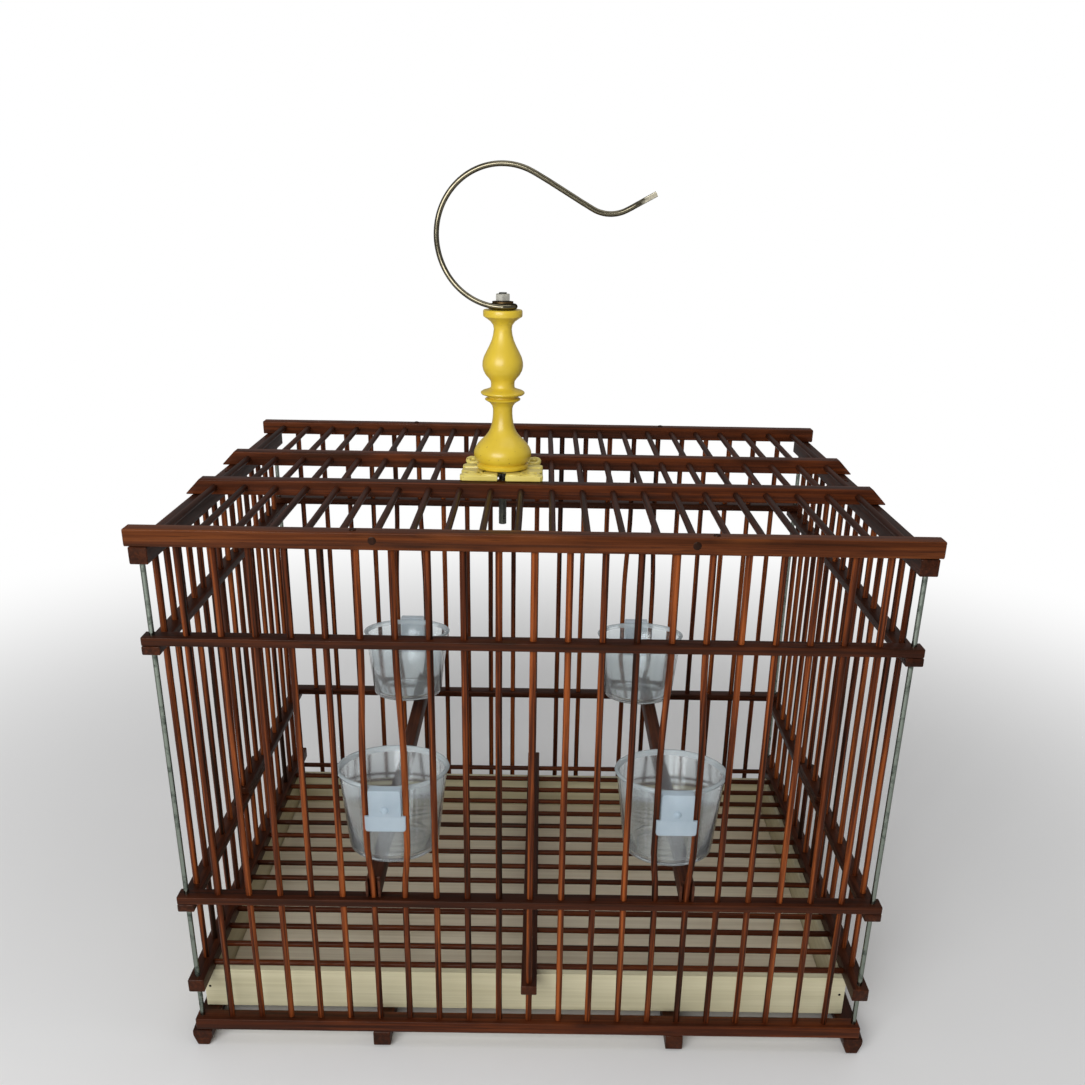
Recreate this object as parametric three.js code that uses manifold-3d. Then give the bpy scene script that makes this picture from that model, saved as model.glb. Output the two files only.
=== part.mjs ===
// A canary breeding cage of drilled hardwood rails and thin round bars: flat combs of
// bars for the front, back, top and floor, side walls with a lift-up door each, a
// pull-out tray, two perches, four clear feeder cups on clips and a carrying hook on a
// turned finial. Millimetres, +X right, +Y back, +Z up, standing on z = 0.
import * as THREE from "three";
import { mergeVertices } from "three/addons/utils/BufferGeometryUtils.js";
import Module from "manifold-3d";

const wasm = await Module();
wasm.setup();

// ---------------------------------------------------------------- driving dimensions
const PITCH = 19;                 // bar to bar, everywhere
const BAR_R = 2;                  // round bar stock
const BAR_SIDES = 6;
const ROD_R = 1.5;                // steel corner rods
const FIT = 0.3;                  // between pieces that touch
const BORE_FIT = 0.35;            // round a bar or rod in its drilled hole

const WALL_BARS = 21;             // front and back, counted along X
const SIDE_BARS = 15;             // each side, counted along Y
const CORNER_X = (WALL_BARS + 1) / 2 * PITCH;   // the corner rods stand one pitch on
const CORNER_Y = (SIDE_BARS + 1) / 2 * PITCH;

const RAIL_W = 10;                // every rail is this thick, seen from above
const FOOT_H = 12;                // foot rails under the ends
const FOOT_W_TOP = 13;
const FOOT_W_BOTTOM = 8;
const FOOT_TAPER_H = 7.2;         // widening up to here
const CROSS_H = 10.5;             // cross rails that carry the tray
const CROSS_W = 11;
const CROSS_X = 94;
const BOTTOM_RAIL_H = 8.5;
const FLOOR_RAIL_Z = 42.3;        // underside of the side rails beside the floor
const FLOOR_RAIL_H = 9;
const MID_RAIL_H = 5;             // the thin rails half way up
const LOWER_RAIL_Z = 103;         // underside of the side walls' lower rail
const UPPER_RAIL_Z = 272.3;       // underside of the side walls' upper rail
const TOP_RAIL_Z = 324.3;         // underside of the side walls' top rail
const TOP_RAIL_H = 9.5;
const TOP_OVERHANG = 7;           // long rails past the corner rods, at each end
const MID_OVERHANG = 5;
const BOTTOM_OVERHANG = 3.5;
const BEAM_OVERHANG = 8.5;        // the two beams across the top
const BEAM_Y = 41;
const BEAM_BEVEL = 8.4;
const SOCKET = 5;                 // depth of a blind hole for a bar's end
const LAP = 1;                    // a cutter past its piece, a glued end into its piece
const JOIST_H = 6.6;
const ROD_END = 2;                // foot rail left under a rod's blind hole

const DOOR_BARS = 3;              // lifted together as a door, in each side wall
const DOOR_SILL_H = 5;
const DOOR_OVERHANG = 6;          // sill past its outer bars

const TRAY_FRONT_Y = -134;
const TRAY_BACK_Y = 131;
const TRAY_LEFT_X = -212;
const TRAY_RIGHT_X = 207;
const TRAY_H = 29;
const TRAY_WALL = 6;
const TRAY_FLOOR = 3;

const PERCH_BAR = 5;              // the perch stands at the fifth bar from the middle
const PERCH_W = 9;
const PERCH_H = 11.5;
const PERCH_OVERHANG = 2.5;       // past the middle of the bars it straddles
const PERCH_SLOT = 6;             // fork round a bar

const CUP_R = 33.6;               // at the rim, without its rolled edge
const CUP_ROLL = 1;               // rolled edge, out from the wall
const CUP_ROLL_H = 3;             // height of the rolled edge
const CUP_ROLL_Z = 1.6;           // its widest, below the rim
const CUP_FOOT_R = 27.6;
const CUP_H = 53.5;
const CUP_WALL = 1.6;
const CUP_SIDES = 18;
const CUP_CLEAR = 0.5;            // cup to bars
const FRONT_OVER_PERCH = 2.7;     // lowest edge of a foot over the perch
const BACK_OVER_PERCH = 1.5;
const BACK_LEAN = 7 * Math.PI / 180;   // the back cups tip towards their wall
const CLIP_W = 19;                // plate between the two bars
const CLIP_H = 17.4;
const CLIP_OVER_RIM = 0.8;        // plate over the rim where they meet
const CLIP_PROUD = 2.2;           // plate past the bars, outside
const WING_W = 24;                // wings outside the bars
const WING_H = 10;
const WING_T = 1.6;
const CLIP_FIT = 0.4;             // plate to bars
const BOW_FROM = 116;             // the bars beside a clip are sprung apart here
const BOW_FULL = 150;
const BOW_FULL_TOP = 206;
const BOW_STEPS = 3;
const RIVET_R = 2.4;
const RIVET_H = 1.2;
const RIVET_SIDES = 8;
const RIVET_RISE = 4.4;           // its middle over the plate's underside

const FINIAL_X = -22;
const FINIAL_Y = -17;
const BASE_W = 52;                // openwork plate under the finial
const BASE_D = 48;
const BASE_T = 4;
const BASE_EYE_R = 3.4;           // pierced through each scroll
const BASE_EYE_IN = 8;            // their middles, in from the plate's edges
const BASE_CURVE = 5;
const BASE_SLOT_W = 5;            // slot between two scrolls
const BASE_SLOT_D = 7;
const BASE_CORNER = 5;            // cut off each corner

// the turned column, from its foot up: each radius with its height over the base plate
const DISC_R = 16.5;
const DISC_H = 2.4;
const BELL_R = 18.3;
const BELL_LOW = 7;
const BELL_HIGH = 10;
const SHOULDER_R = 11;
const SHOULDER_H = 19;
const WAIST_R = 7;
const WAIST_LOW = 26;
const WAIST_TOP_R = 6.1;
const WAIST_HIGH = 37.5;
const COLLAR_R = 11.1;
const COLLAR_LOW = 42;
const COLLAR_TOP_R = 9.2;
const COLLAR_HIGH = 44;
const RING_R = 13.7;
const RING_MIDDLE = 46.5;
const HOLLOW_R = 7.4;
const HOLLOW_LOW = 49.5;
const HOLLOW_HIGH = 53.5;
const BALL_R = 12.6;
const BALL_LOW = 60.5;
const BALL_HIGH = 66;
const NECK_R = 6;
const NECK_LOW = 78;
const NECK_TOP_R = 5.5;
const NECK_HIGH = 86;
const CAP_R = 12;
const CAP_LOW = 92;
const COLUMN_H = 96;
const COLUMN_SIDES = 14;

const STEM_R = 2.6;               // threaded rod
const STEM_SIDES = 10;
const STEM_DROP = 20;             // rod below the nut under the top bars
const STEM_RISE = 0.8;            // rod past the nut on the cap
const WASHER_R = 14;
const WASHER_T = 1.6;
const WASHER_SIDES = 12;
const NUT_R = 4.7;                // across its corners
const NUT_H = 4;
const NUT_SIDES = 6;
const EYE_WASHER_R = 6.4;         // keeps the hook's eye on the rod
const EYE_WASHER_T = 1;
const HOOK_R = 1.6;               // hook wire
const EYE_R = 7.4;                // middle line of the wire's eye round the rod
const EYE_TURN = 285 * Math.PI / 180;
const HOOK_BEND_R = 39.4;         // big bend over the finial, tangent to the eye
const BEND_LOW = 270 * Math.PI / 180;      // where it leaves the eye, from +X
const BEND_STRAIGHT = 200 * Math.PI / 180; // in the finial's plane from here on
const BEND_HIGH = 61 * Math.PI / 180;
const FALL_L = 38;                // straight part down to the tip's bend
const TIP_BEND_R = 22;
const TIP_TURN = 57 * Math.PI / 180;
const TIP_L = 18.5;
const CURVE_STEP = 11 * Math.PI / 180;
const HOOK_STEPS = 44;

// ---------------------------------------------------------------------- materials
function material(color, roughness, metalness = 0, opacity = 1) {
  return new THREE.MeshStandardMaterial({ color, roughness, metalness, opacity, transparent: opacity < 1 });
}
const varnished = () => material("#7a3a20", 0.35);
const limed = () => material("#cbbf95", 0.7);
const steel = () => material("#b9bcbd", 0.3, 1);

// ------------------------------------------------------------------- solid helpers
const cage = new THREE.Group();

function solidOf(geometry) {
  const bare = geometry.clone();
  bare.deleteAttribute("normal");
  bare.deleteAttribute("uv");
  const merged = mergeVertices(bare, 1e-4);
  const mesh = new wasm.Mesh({
    numProp: 3,
    vertProperties: new Float32Array(merged.attributes.position.array),
    triVerts: new Uint32Array(merged.index.array),
  });
  return new wasm.Manifold(mesh);
}

function geometryOf(solid) {
  const mesh = solid.getMesh();
  const geometry = new THREE.BufferGeometry();
  geometry.setAttribute("position", new THREE.BufferAttribute(new Float32Array(mesh.vertProperties), 3));
  geometry.setIndex(new THREE.BufferAttribute(new Uint32Array(mesh.triVerts), 1));
  return geometry;
}

const join = (...solids) => solids.reduce((all, next) => all.add(next));
const cut = (solid, holes) => holes.reduce((left, hole) => left.subtract(hole), solid);

function piece(name, solid, finish) {
  const mesh = new THREE.Mesh(geometryOf(solid), finish);
  mesh.name = name;
  cage.add(mesh);
  return mesh;
}

// a box from its low corner to its high corner
function block(x0, x1, y0, y1, z0, z1) {
  const box = new THREE.BoxGeometry(x1 - x0, y1 - y0, z1 - z0);
  box.translate((x0 + x1) / 2, (y0 + y1) / 2, (z0 + z1) / 2);
  return solidOf(box);
}

// a round along one axis, from one end to the other, through (u, v) of the other two
function round(axis, radius, from, to, u, v, sides = BAR_SIDES) {
  const shape = new THREE.CylinderGeometry(radius, radius, to - from, sides);
  const middle = (from + to) / 2;
  if (axis === "x") shape.rotateZ(Math.PI / 2).translate(middle, u, v);
  if (axis === "y") shape.translate(u, middle, v);
  if (axis === "z") shape.rotateX(Math.PI / 2).translate(u, v, middle);
  return solidOf(shape);
}

const holeR = (radius) => radius + BORE_FIT;
const topRailEnd = CORNER_X + TOP_OVERHANG;
const midRailEnd = CORNER_X + MID_OVERHANG;
const bottomRailEnd = CORNER_X + BOTTOM_OVERHANG;
const beamEnd = CORNER_X + BEAM_OVERHANG;
const sideEnd = CORNER_Y + RAIL_W / 2;
const spread = (count) => Array.from({ length: count }, (_, i) => (i - (count - 1) / 2) * PITCH);
const wallX = spread(WALL_BARS);
const sideY = spread(SIDE_BARS);
const topX = spread(WALL_BARS + 1);

// -------------------------------------------------------------------- rail levels
const bottomZ = FOOT_H + FIT;                               // front and back rails
const bottomTop = bottomZ + BOTTOM_RAIL_H - FIT;
const floorZ = FLOOR_RAIL_Z + FLOOR_RAIL_H / 2;             // middle of the floor bars
const lowerZ = LOWER_RAIL_Z + MID_RAIL_H + FIT;             // front and back, on the side rails
const upperZ = UPPER_RAIL_Z + MID_RAIL_H + FIT;
const topZ = TOP_RAIL_Z + TOP_RAIL_H + FIT;
const topBarZ = topZ + TOP_RAIL_H / 2;
const topOfRails = topZ + TOP_RAIL_H;
const railTop = (z) => z + MID_RAIL_H;

// ------------------------------------------------------- bars sprung apart by clips
const gapMiddle = (PERCH_BAR - 0.5) * PITCH;                // a clip hangs in this gap
const backGaps = [-(PERCH_BAR + 0.5) * PITCH, gapMiddle];
const frontGaps = [-gapMiddle, gapMiddle];
const bow = CLIP_W / 2 + CLIP_FIT + BAR_R - PITCH / 2;

function bowAt(z) {
  const ease = (t) => t * t * (3 - 2 * t);
  if (z <= BOW_FROM || z >= upperZ) return 0;
  if (z < BOW_FULL) return ease((z - BOW_FROM) / (BOW_FULL - BOW_FROM)) * bow;
  if (z <= BOW_FULL_TOP) return bow;
  return ease((upperZ - z) / (upperZ - BOW_FULL_TOP)) * bow;
}

function wallBar(x, y, from, to, gaps) {
  const near = gaps.find((gap) => Math.abs(gap - x) < PITCH);
  if (near === undefined) return round("z", BAR_R, from, to, x, y);
  const levels = [from, BOW_FROM];
  for (let i = 1; i <= BOW_STEPS; i += 1) levels.push(BOW_FROM + (BOW_FULL - BOW_FROM) * i / BOW_STEPS);
  for (let i = 0; i <= BOW_STEPS; i += 1) levels.push(BOW_FULL_TOP + (upperZ - BOW_FULL_TOP) * i / BOW_STEPS);
  levels.push(to);
  const shape = new THREE.CylinderGeometry(BAR_R, BAR_R, 1, BAR_SIDES, levels.length - 1);
  shape.rotateX(Math.PI / 2);
  const place = shape.attributes.position;
  for (let i = 0; i < place.count; i += 1) {
    const z = levels[Math.round((place.getZ(i) + 0.5) * (levels.length - 1))];
    place.setXYZ(i, place.getX(i) + x + Math.sign(x - near) * bowAt(z), place.getY(i) + y, z);
  }
  return solidOf(shape);
}

// -------------------------------------------------------------- front and back walls
function midRail(name, y, z) {
  const rail = block(-midRailEnd, midRailEnd, y - RAIL_W / 2, y + RAIL_W / 2, z, railTop(z));
  const holes = wallX.map((x) => round("z", holeR(BAR_R), z - LAP, railTop(z) + LAP, x, y));
  const rods = [-CORNER_X, CORNER_X].map((x) => round("z", holeR(ROD_R), z - LAP, railTop(z) + LAP, x, y));
  piece(name, cut(rail, [...holes, ...rods]), varnished());
}

for (const [wall, y, gaps] of [["front", -CORNER_Y, frontGaps], ["back", CORNER_Y, backGaps]]) {
  // the bottom rail carries its wall's bars, glued in
  const sill = block(-bottomRailEnd, bottomRailEnd, y - RAIL_W / 2, y + RAIL_W / 2, bottomZ, bottomTop);
  const barTop = topZ + SOCKET - FIT;
  const bars = wallX.map((x) => wallBar(x, y, bottomTop - LAP, barTop, gaps));
  const rods = [-CORNER_X, CORNER_X].map((x) => round("z", holeR(ROD_R), 0, FLOOR_RAIL_Z, x, y));
  piece(`${wall}_bottom_rail_and_bars`, cut(join(sill, ...bars), rods), varnished());
  midRail(`${wall}_lower_rail`, y, lowerZ);
  midRail(`${wall}_upper_rail`, y, upperZ);
}

// ----------------------------------------------------------------------- side walls
const doorY = sideY.filter((y) => Math.abs(y) < PITCH * DOOR_BARS / 2);
const fixedY = sideY.filter((y) => Math.abs(y) > PITCH * DOOR_BARS / 2);
const doorZ = railTop(LOWER_RAIL_Z) + FIT;                  // underside of a closed door

function sideRail(name, x, z, height, holes) {
  const rail = block(x - RAIL_W / 2, x + RAIL_W / 2, -sideEnd, sideEnd, z, z + height);
  const rods = [-CORNER_Y, CORNER_Y].map((y) => round("z", holeR(ROD_R), z - LAP, z + height + LAP, x, y));
  piece(name, cut(rail, [...holes, ...rods]), varnished());
}

for (const [wall, x] of [["left", -CORNER_X], ["right", CORNER_X]]) {
  const drill = (ys, from, to) => ys.map((y) => round("z", holeR(BAR_R), from - LAP, to, x, y));

  // the floor-level rail carries the fixed bars; those under the door are short
  const sillTop = FLOOR_RAIL_Z + FLOOR_RAIL_H;
  const shortTop = LOWER_RAIL_Z + MID_RAIL_H / 2;
  const sill = block(x - RAIL_W / 2, x + RAIL_W / 2, -sideEnd, sideEnd, FLOOR_RAIL_Z, sillTop);
  const long = fixedY.map((y) => round("z", BAR_R, sillTop - LAP, TOP_RAIL_Z + SOCKET - FIT, x, y));
  const short = doorY.map((y) => round("z", BAR_R, sillTop - LAP, shortTop, x, y));
  const rods = [-CORNER_Y, CORNER_Y].map((y) => round("z", holeR(ROD_R), 0, LOWER_RAIL_Z, x, y));
  piece(`${wall}_floor_rail_and_bars`, cut(join(sill, ...long, ...short), rods), varnished());

  sideRail(`${wall}_lower_rail`, x, LOWER_RAIL_Z, MID_RAIL_H, [
    ...drill(fixedY, LOWER_RAIL_Z, railTop(LOWER_RAIL_Z) + LAP),
    ...drill(doorY, LOWER_RAIL_Z, shortTop + FIT),
  ]);
  sideRail(`${wall}_upper_rail`, x, UPPER_RAIL_Z, MID_RAIL_H,
    drill(sideY, UPPER_RAIL_Z, railTop(UPPER_RAIL_Z) + LAP));
  sideRail(`${wall}_top_rail`, x, TOP_RAIL_Z, TOP_RAIL_H, [
    ...drill(fixedY, TOP_RAIL_Z, TOP_RAIL_Z + SOCKET),
    ...drill(doorY, TOP_RAIL_Z, TOP_RAIL_Z + TOP_RAIL_H + LAP),
  ]);

  // the door: bars that slide up through the upper and top rails, on a loose sill
  const outer = doorY[doorY.length - 1] + DOOR_OVERHANG;
  const doorSill = block(x - RAIL_W / 2, x + RAIL_W / 2, -outer, outer, doorZ, doorZ + DOOR_SILL_H);
  const doorTop = TOP_RAIL_Z + TOP_RAIL_H - LAP;
  const doorBars = doorY.map((y) => round("z", BAR_R, doorZ + DOOR_SILL_H - LAP, doorTop, x, y));
  piece(`${wall}_door`, join(doorSill, ...doorBars), varnished());
}

// -------------------------------------------------------------------------- the top
// the top bars are glued into the front rail and slide into the others as a comb
const topFrontY = -CORNER_Y + RAIL_W / 2;
const topBackY = CORNER_Y - RAIL_W / 2;

function topRail(y) {
  const rail = block(-topRailEnd, topRailEnd, y - RAIL_W / 2, y + RAIL_W / 2, topZ, topOfRails);
  const sockets = wallX.map((x) => round("z", holeR(BAR_R), 0, topZ + SOCKET, x, y));
  const rods = [-CORNER_X, CORNER_X].map((x) => round("z", holeR(ROD_R), 0, topOfRails + LAP, x, y));
  return cut(rail, [...sockets, ...rods]);
}

const topBars = topX.map((x) => round("y", BAR_R, topFrontY - LAP, topBackY - FIT, x, topBarZ));
piece("front_top_rail_and_top_bars", join(topRail(-CORNER_Y), ...topBars), varnished());
piece("back_top_rail", topRail(CORNER_Y), varnished());

for (const [name, y] of [["front_beam", -BEAM_Y], ["back_beam", BEAM_Y]]) {
  const side = new THREE.Shape();
  side.moveTo(-beamEnd, topZ);
  side.lineTo(beamEnd, topZ);
  side.lineTo(beamEnd - BEAM_BEVEL, topOfRails);
  side.lineTo(-beamEnd + BEAM_BEVEL, topOfRails);
  const beam = new THREE.ExtrudeGeometry(side, { depth: RAIL_W, bevelEnabled: false });
  beam.rotateX(Math.PI / 2).translate(0, y + RAIL_W / 2, 0);
  const holes = topX.map((x) => round("y", holeR(BAR_R), y - RAIL_W, y + RAIL_W, x, topBarZ));
  piece(name, cut(solidOf(beam), holes), varnished());
}

// -------------------------------------------------------------- floor, feet and rods
const floorEnd = CORNER_X - RAIL_W / 2 - FIT;
const joist = block(-RAIL_W / 2, RAIL_W / 2, -sideEnd, sideEnd, floorZ - JOIST_H / 2, floorZ + JOIST_H / 2);
const floorBars = sideY.map((y) => round("x", BAR_R, -floorEnd, floorEnd, y, floorZ));
const joistHoles = [-CORNER_Y, CORNER_Y].map((y) => round("z", holeR(BAR_R), 0, LOWER_RAIL_Z, 0, y));
piece("floor_joist_and_bars", cut(join(joist, ...floorBars), joistHoles), varnished());

for (const [name, x] of [["left_foot_rail", -CORNER_X], ["right_foot_rail", CORNER_X]]) {
  const end = new THREE.Shape();
  end.moveTo(-FOOT_W_BOTTOM / 2, 0);
  end.lineTo(FOOT_W_BOTTOM / 2, 0);
  end.lineTo(FOOT_W_TOP / 2, FOOT_TAPER_H);
  end.lineTo(FOOT_W_TOP / 2, FOOT_H);
  end.lineTo(-FOOT_W_TOP / 2, FOOT_H);
  end.lineTo(-FOOT_W_TOP / 2, FOOT_TAPER_H);
  const rail = new THREE.ExtrudeGeometry(end, { depth: 2 * sideEnd, bevelEnabled: false });
  rail.rotateX(Math.PI / 2).translate(x, sideEnd, 0);
  const rods = [-CORNER_Y, CORNER_Y].map((y) => round("z", holeR(ROD_R), ROD_END, FOOT_H + LAP, x, y));
  piece(name, cut(solidOf(rail), rods), varnished());
}

for (const [name, x] of [["left_cross_rail", -CROSS_X], ["right_cross_rail", CROSS_X]]) {
  const rail = block(x - CROSS_W / 2, x + CROSS_W / 2, -sideEnd, sideEnd, FOOT_H - CROSS_H, FOOT_H);
  piece(name, rail, varnished());
}

for (const [end, y] of [["front", -CORNER_Y], ["back", CORNER_Y]]) {
  for (const [hand, x] of [["left", -CORNER_X], ["right", CORNER_X]]) {
    piece(`${end}_${hand}_rod`, round("z", ROD_R, ROD_END + FIT, topOfRails - FIT, x, y), steel());
  }
}

// ------------------------------------------------------------------------- the tray
const trayZ = FOOT_H + FIT;
const trayTop = trayZ + TRAY_H;
const inFront = TRAY_FRONT_Y + TRAY_WALL + FIT;
const inBack = TRAY_BACK_Y - TRAY_WALL - FIT;
const inLeft = TRAY_LEFT_X + TRAY_WALL + FIT;
const inRight = TRAY_RIGHT_X - TRAY_WALL - FIT;
const board = (name, x0, x1, y0, y1, top) => piece(name, block(x0, x1, y0, y1, trayZ, top), limed());
board("tray_front_board", TRAY_LEFT_X, TRAY_RIGHT_X, TRAY_FRONT_Y, inFront - FIT, trayTop);
board("tray_back_board", TRAY_LEFT_X, TRAY_RIGHT_X, inBack + FIT, TRAY_BACK_Y, trayTop);
board("tray_left_board", TRAY_LEFT_X, inLeft - FIT, inFront, inBack, trayTop);
board("tray_right_board", inRight + FIT, TRAY_RIGHT_X, inFront, inBack, trayTop);
board("tray_floor_board", inLeft, inRight, inFront, inBack, trayZ + TRAY_FLOOR);

// --------------------------------------------------------------------------- perches
const perchZ = railTop(lowerZ) + FIT;
const perchTop = perchZ + PERCH_H;
for (const [name, x] of [["left_perch", -PERCH_BAR * PITCH], ["right_perch", PERCH_BAR * PITCH]]) {
  const end = CORNER_Y + PERCH_OVERHANG;
  const bar = block(x - PERCH_W / 2, x + PERCH_W / 2, -end, end, perchZ, perchTop);
  const forkIn = CORNER_Y - BAR_R - FIT;
  const slot = PERCH_SLOT / 2;
  const fork = (from, to) => block(x - slot, x + slot, from, to, perchZ - LAP, perchTop + LAP);
  piece(name, cut(bar, [fork(-end - LAP, -forkIn), fork(forkIn, end + LAP)]), varnished());
}

// -------------------------------------------------------------- feeder cups and clips
// a front cup leans on the bars: its wall's slope stands it upright against them
const frontLean = Math.atan2(CUP_R - CUP_FOOT_R, CUP_H);
const wallFace = CORNER_Y - BAR_R;                          // inner side of the bars

function cupProfile() {
  const inFoot = CUP_FOOT_R - CUP_WALL;
  const inRim = CUP_R - CUP_WALL;
  const rollR = CUP_R + CUP_ROLL;
  return [
    [0, -CUP_H], [CUP_FOOT_R, -CUP_H], [CUP_R, -CUP_ROLL_H], [rollR, -CUP_ROLL_Z], [CUP_R, 0],
    [inRim, 0], [inFoot, -CUP_H + CUP_WALL], [0, -CUP_H + CUP_WALL],
  ].map(([r, z]) => new THREE.Vector2(r, z));
}

// side is -1 at the front wall and +1 at the back wall; every cup's top tips to the back
function addCup(name, gap, side, lean, overPerch) {
  const rimR = (CUP_R + CUP_ROLL) * Math.cos(Math.PI / CUP_SIDES);
  const rimZ = perchTop + overPerch + CUP_H * Math.cos(lean) + CUP_FOOT_R * Math.sin(lean);
  const y = side * (wallFace - rimR * Math.cos(lean) - CUP_CLEAR);
  const shape = new THREE.LatheGeometry(cupProfile(), CUP_SIDES);
  shape.rotateX(Math.PI / 2).rotateZ(Math.PI / CUP_SIDES);
  shape.rotateX(-lean).translate(gap, y, rimZ);
  const cup = new THREE.Mesh(shape, material("#e6ece9", 0.1, 0, 0.35));
  cup.name = name;
  cage.add(cup);

  // the clip: a plate sprung between two bars, with wings outside them
  const outside = CORNER_Y + BAR_R;
  const span = (from, to) => (side < 0 ? [-to, -from] : [from, to]);
  const plateIn = wallFace - CUP_CLEAR + FIT;               // seated on the cup's rolled rim
  const face = outside + CLIP_PROUD;
  const z = rimZ - side * rimR * Math.sin(lean) + CLIP_OVER_RIM - CLIP_H;
  const plate = block(gap - CLIP_W / 2, gap + CLIP_W / 2, ...span(plateIn, face), z, z + CLIP_H);
  const wing = block(gap - WING_W / 2, gap + WING_W / 2,
    ...span(outside + FIT, outside + FIT + WING_T), z - WING_H, z + FIT);
  const rivet = round("y", RIVET_R, ...span(face - LAP, face + RIVET_H), gap, z + RIVET_RISE, RIVET_SIDES);
  piece(`${name}_clip`, join(plate, wing, rivet), material("#cfe0e6", 0.4, 0, 0.8));
}

addCup("front_left_cup", frontGaps[0], -1, frontLean, FRONT_OVER_PERCH);
addCup("front_right_cup", frontGaps[1], -1, frontLean, FRONT_OVER_PERCH);
addCup("back_left_cup", backGaps[0], 1, BACK_LEAN, BACK_OVER_PERCH);
addCup("back_right_cup", backGaps[1], 1, BACK_LEAN, BACK_OVER_PERCH);

// ------------------------------------------------------------------ finial and hook
const baseZ = topOfRails + FIT;
const baseTop = baseZ + BASE_T;

// the plate: four carved scrolls with a slot between each two, pierced and bored; its
// front edge lies on the beam and the rest is stepped down onto the top bars
function scrollPlate(z, thickness) {
  const w = BASE_W / 2;
  const d = BASE_D / 2;
  const slot = BASE_SLOT_W / 2;
  const side = (turn, along, out) => {
    const put = (a, b) => [a * Math.cos(turn) - b * Math.sin(turn), a * Math.sin(turn) + b * Math.cos(turn)];
    const points = [[-along + BASE_CORNER, -out], [-slot, -out], [-slot, -out + BASE_SLOT_D],
      [slot, -out + BASE_SLOT_D], [slot, -out], [along - BASE_CORNER, -out]];
    return points.map(([a, b]) => put(a, b));
  };
  const turns = [0, 1, 2, 3].map((i) => i * Math.PI / 2);
  const outline = turns.flatMap((turn, i) => (i % 2 ? side(turn, d, w) : side(turn, w, d)));
  const plate = new THREE.Shape(outline.map(([x, y]) => new THREE.Vector2(x, y)));
  const openings = [[holeR(STEM_R), 0, 0]];
  for (const sx of [-1, 1]) for (const sy of [-1, 1]) {
    openings.push([BASE_EYE_R, sx * (w - BASE_EYE_IN), sy * (d - BASE_EYE_IN)]);
  }
  for (const [r, x, y] of openings) {
    const hole = new THREE.Path();
    hole.absarc(x, y, r, 0, 2 * Math.PI, true);
    plate.holes.push(hole);
  }
  const shape = new THREE.ExtrudeGeometry(plate, {
    depth: thickness, bevelEnabled: false, curveSegments: BASE_CURVE,
  });
  shape.translate(FINIAL_X, FINIAL_Y, z);
  return solidOf(shape);
}
const beamBack = -BEAM_Y + RAIL_W / 2;
const baseSeat = topBarZ + BAR_R + FIT;
const overBeam = block(-beamEnd, beamEnd, -CORNER_Y, beamBack + FIT, 0, baseZ);
piece("finial_base", cut(scrollPlate(baseSeat, baseTop - baseSeat), [overBeam]), material("#d9b43a", 0.45));

// the column, turned from one piece: disc, bell, waist, ring, ball, neck and cap, bored
const columnZ = baseTop + FIT;
const bored = holeR(STEM_R);
const columnProfile = [
  [bored, 0], [DISC_R, 0], [DISC_R, DISC_H], [BELL_R, BELL_LOW], [BELL_R, BELL_HIGH],
  [SHOULDER_R, SHOULDER_H], [WAIST_R, WAIST_LOW], [WAIST_TOP_R, WAIST_HIGH],
  [COLLAR_R, COLLAR_LOW], [COLLAR_TOP_R, COLLAR_HIGH], [RING_R, RING_MIDDLE],
  [HOLLOW_R, HOLLOW_LOW], [HOLLOW_R, HOLLOW_HIGH], [BALL_R, BALL_LOW], [BALL_R, BALL_HIGH], [NECK_R, NECK_LOW],
  [NECK_TOP_R, NECK_HIGH], [CAP_R, CAP_LOW], [CAP_R, COLUMN_H], [bored, COLUMN_H], [bored, 0],
].map(([r, z]) => new THREE.Vector2(r, z));
const columnShape = new THREE.LatheGeometry(columnProfile, COLUMN_SIDES);
columnShape.rotateX(Math.PI / 2).translate(FINIAL_X, FINIAL_Y, columnZ);
const column = new THREE.Mesh(columnShape, material("#d9b43a", 0.4));
column.name = "finial_column";
cage.add(column);

// the threaded rod, from below the top bars to the nut on the cap
const barsUnder = topBarZ - BAR_R;
const washerTop = barsUnder - FIT;
const nutTop = washerTop - WASHER_T - FIT;
const capTop = columnZ + COLUMN_H;
const eyeZ = capTop + FIT + HOOK_R;
const eyeWasherZ = eyeZ + HOOK_R + FIT;
const capNutZ = eyeWasherZ + EYE_WASHER_T + FIT;
const rodTop = capNutZ + NUT_H + STEM_RISE;
const rodBottom = nutTop - NUT_H - STEM_DROP;
piece("threaded_rod", round("z", STEM_R, rodBottom, rodTop, FINIAL_X, FINIAL_Y, STEM_SIDES), steel());

function ringPiece(name, radius, sides, z, height) {
  const bore = round("z", holeR(STEM_R), z - LAP, z + height + LAP, FINIAL_X, FINIAL_Y, STEM_SIDES);
  piece(name, cut(round("z", radius, z, z + height, FINIAL_X, FINIAL_Y, sides), [bore]), steel());
}
ringPiece("rod_washer", WASHER_R, WASHER_SIDES, washerTop - WASHER_T, WASHER_T);
ringPiece("eye_washer", EYE_WASHER_R, WASHER_SIDES, eyeWasherZ, EYE_WASHER_T);
ringPiece("rod_nut", NUT_R, NUT_SIDES, nutTop - NUT_H, NUT_H);
ringPiece("cap_nut", NUT_R, NUT_SIDES, capNutZ, NUT_H);

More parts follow.
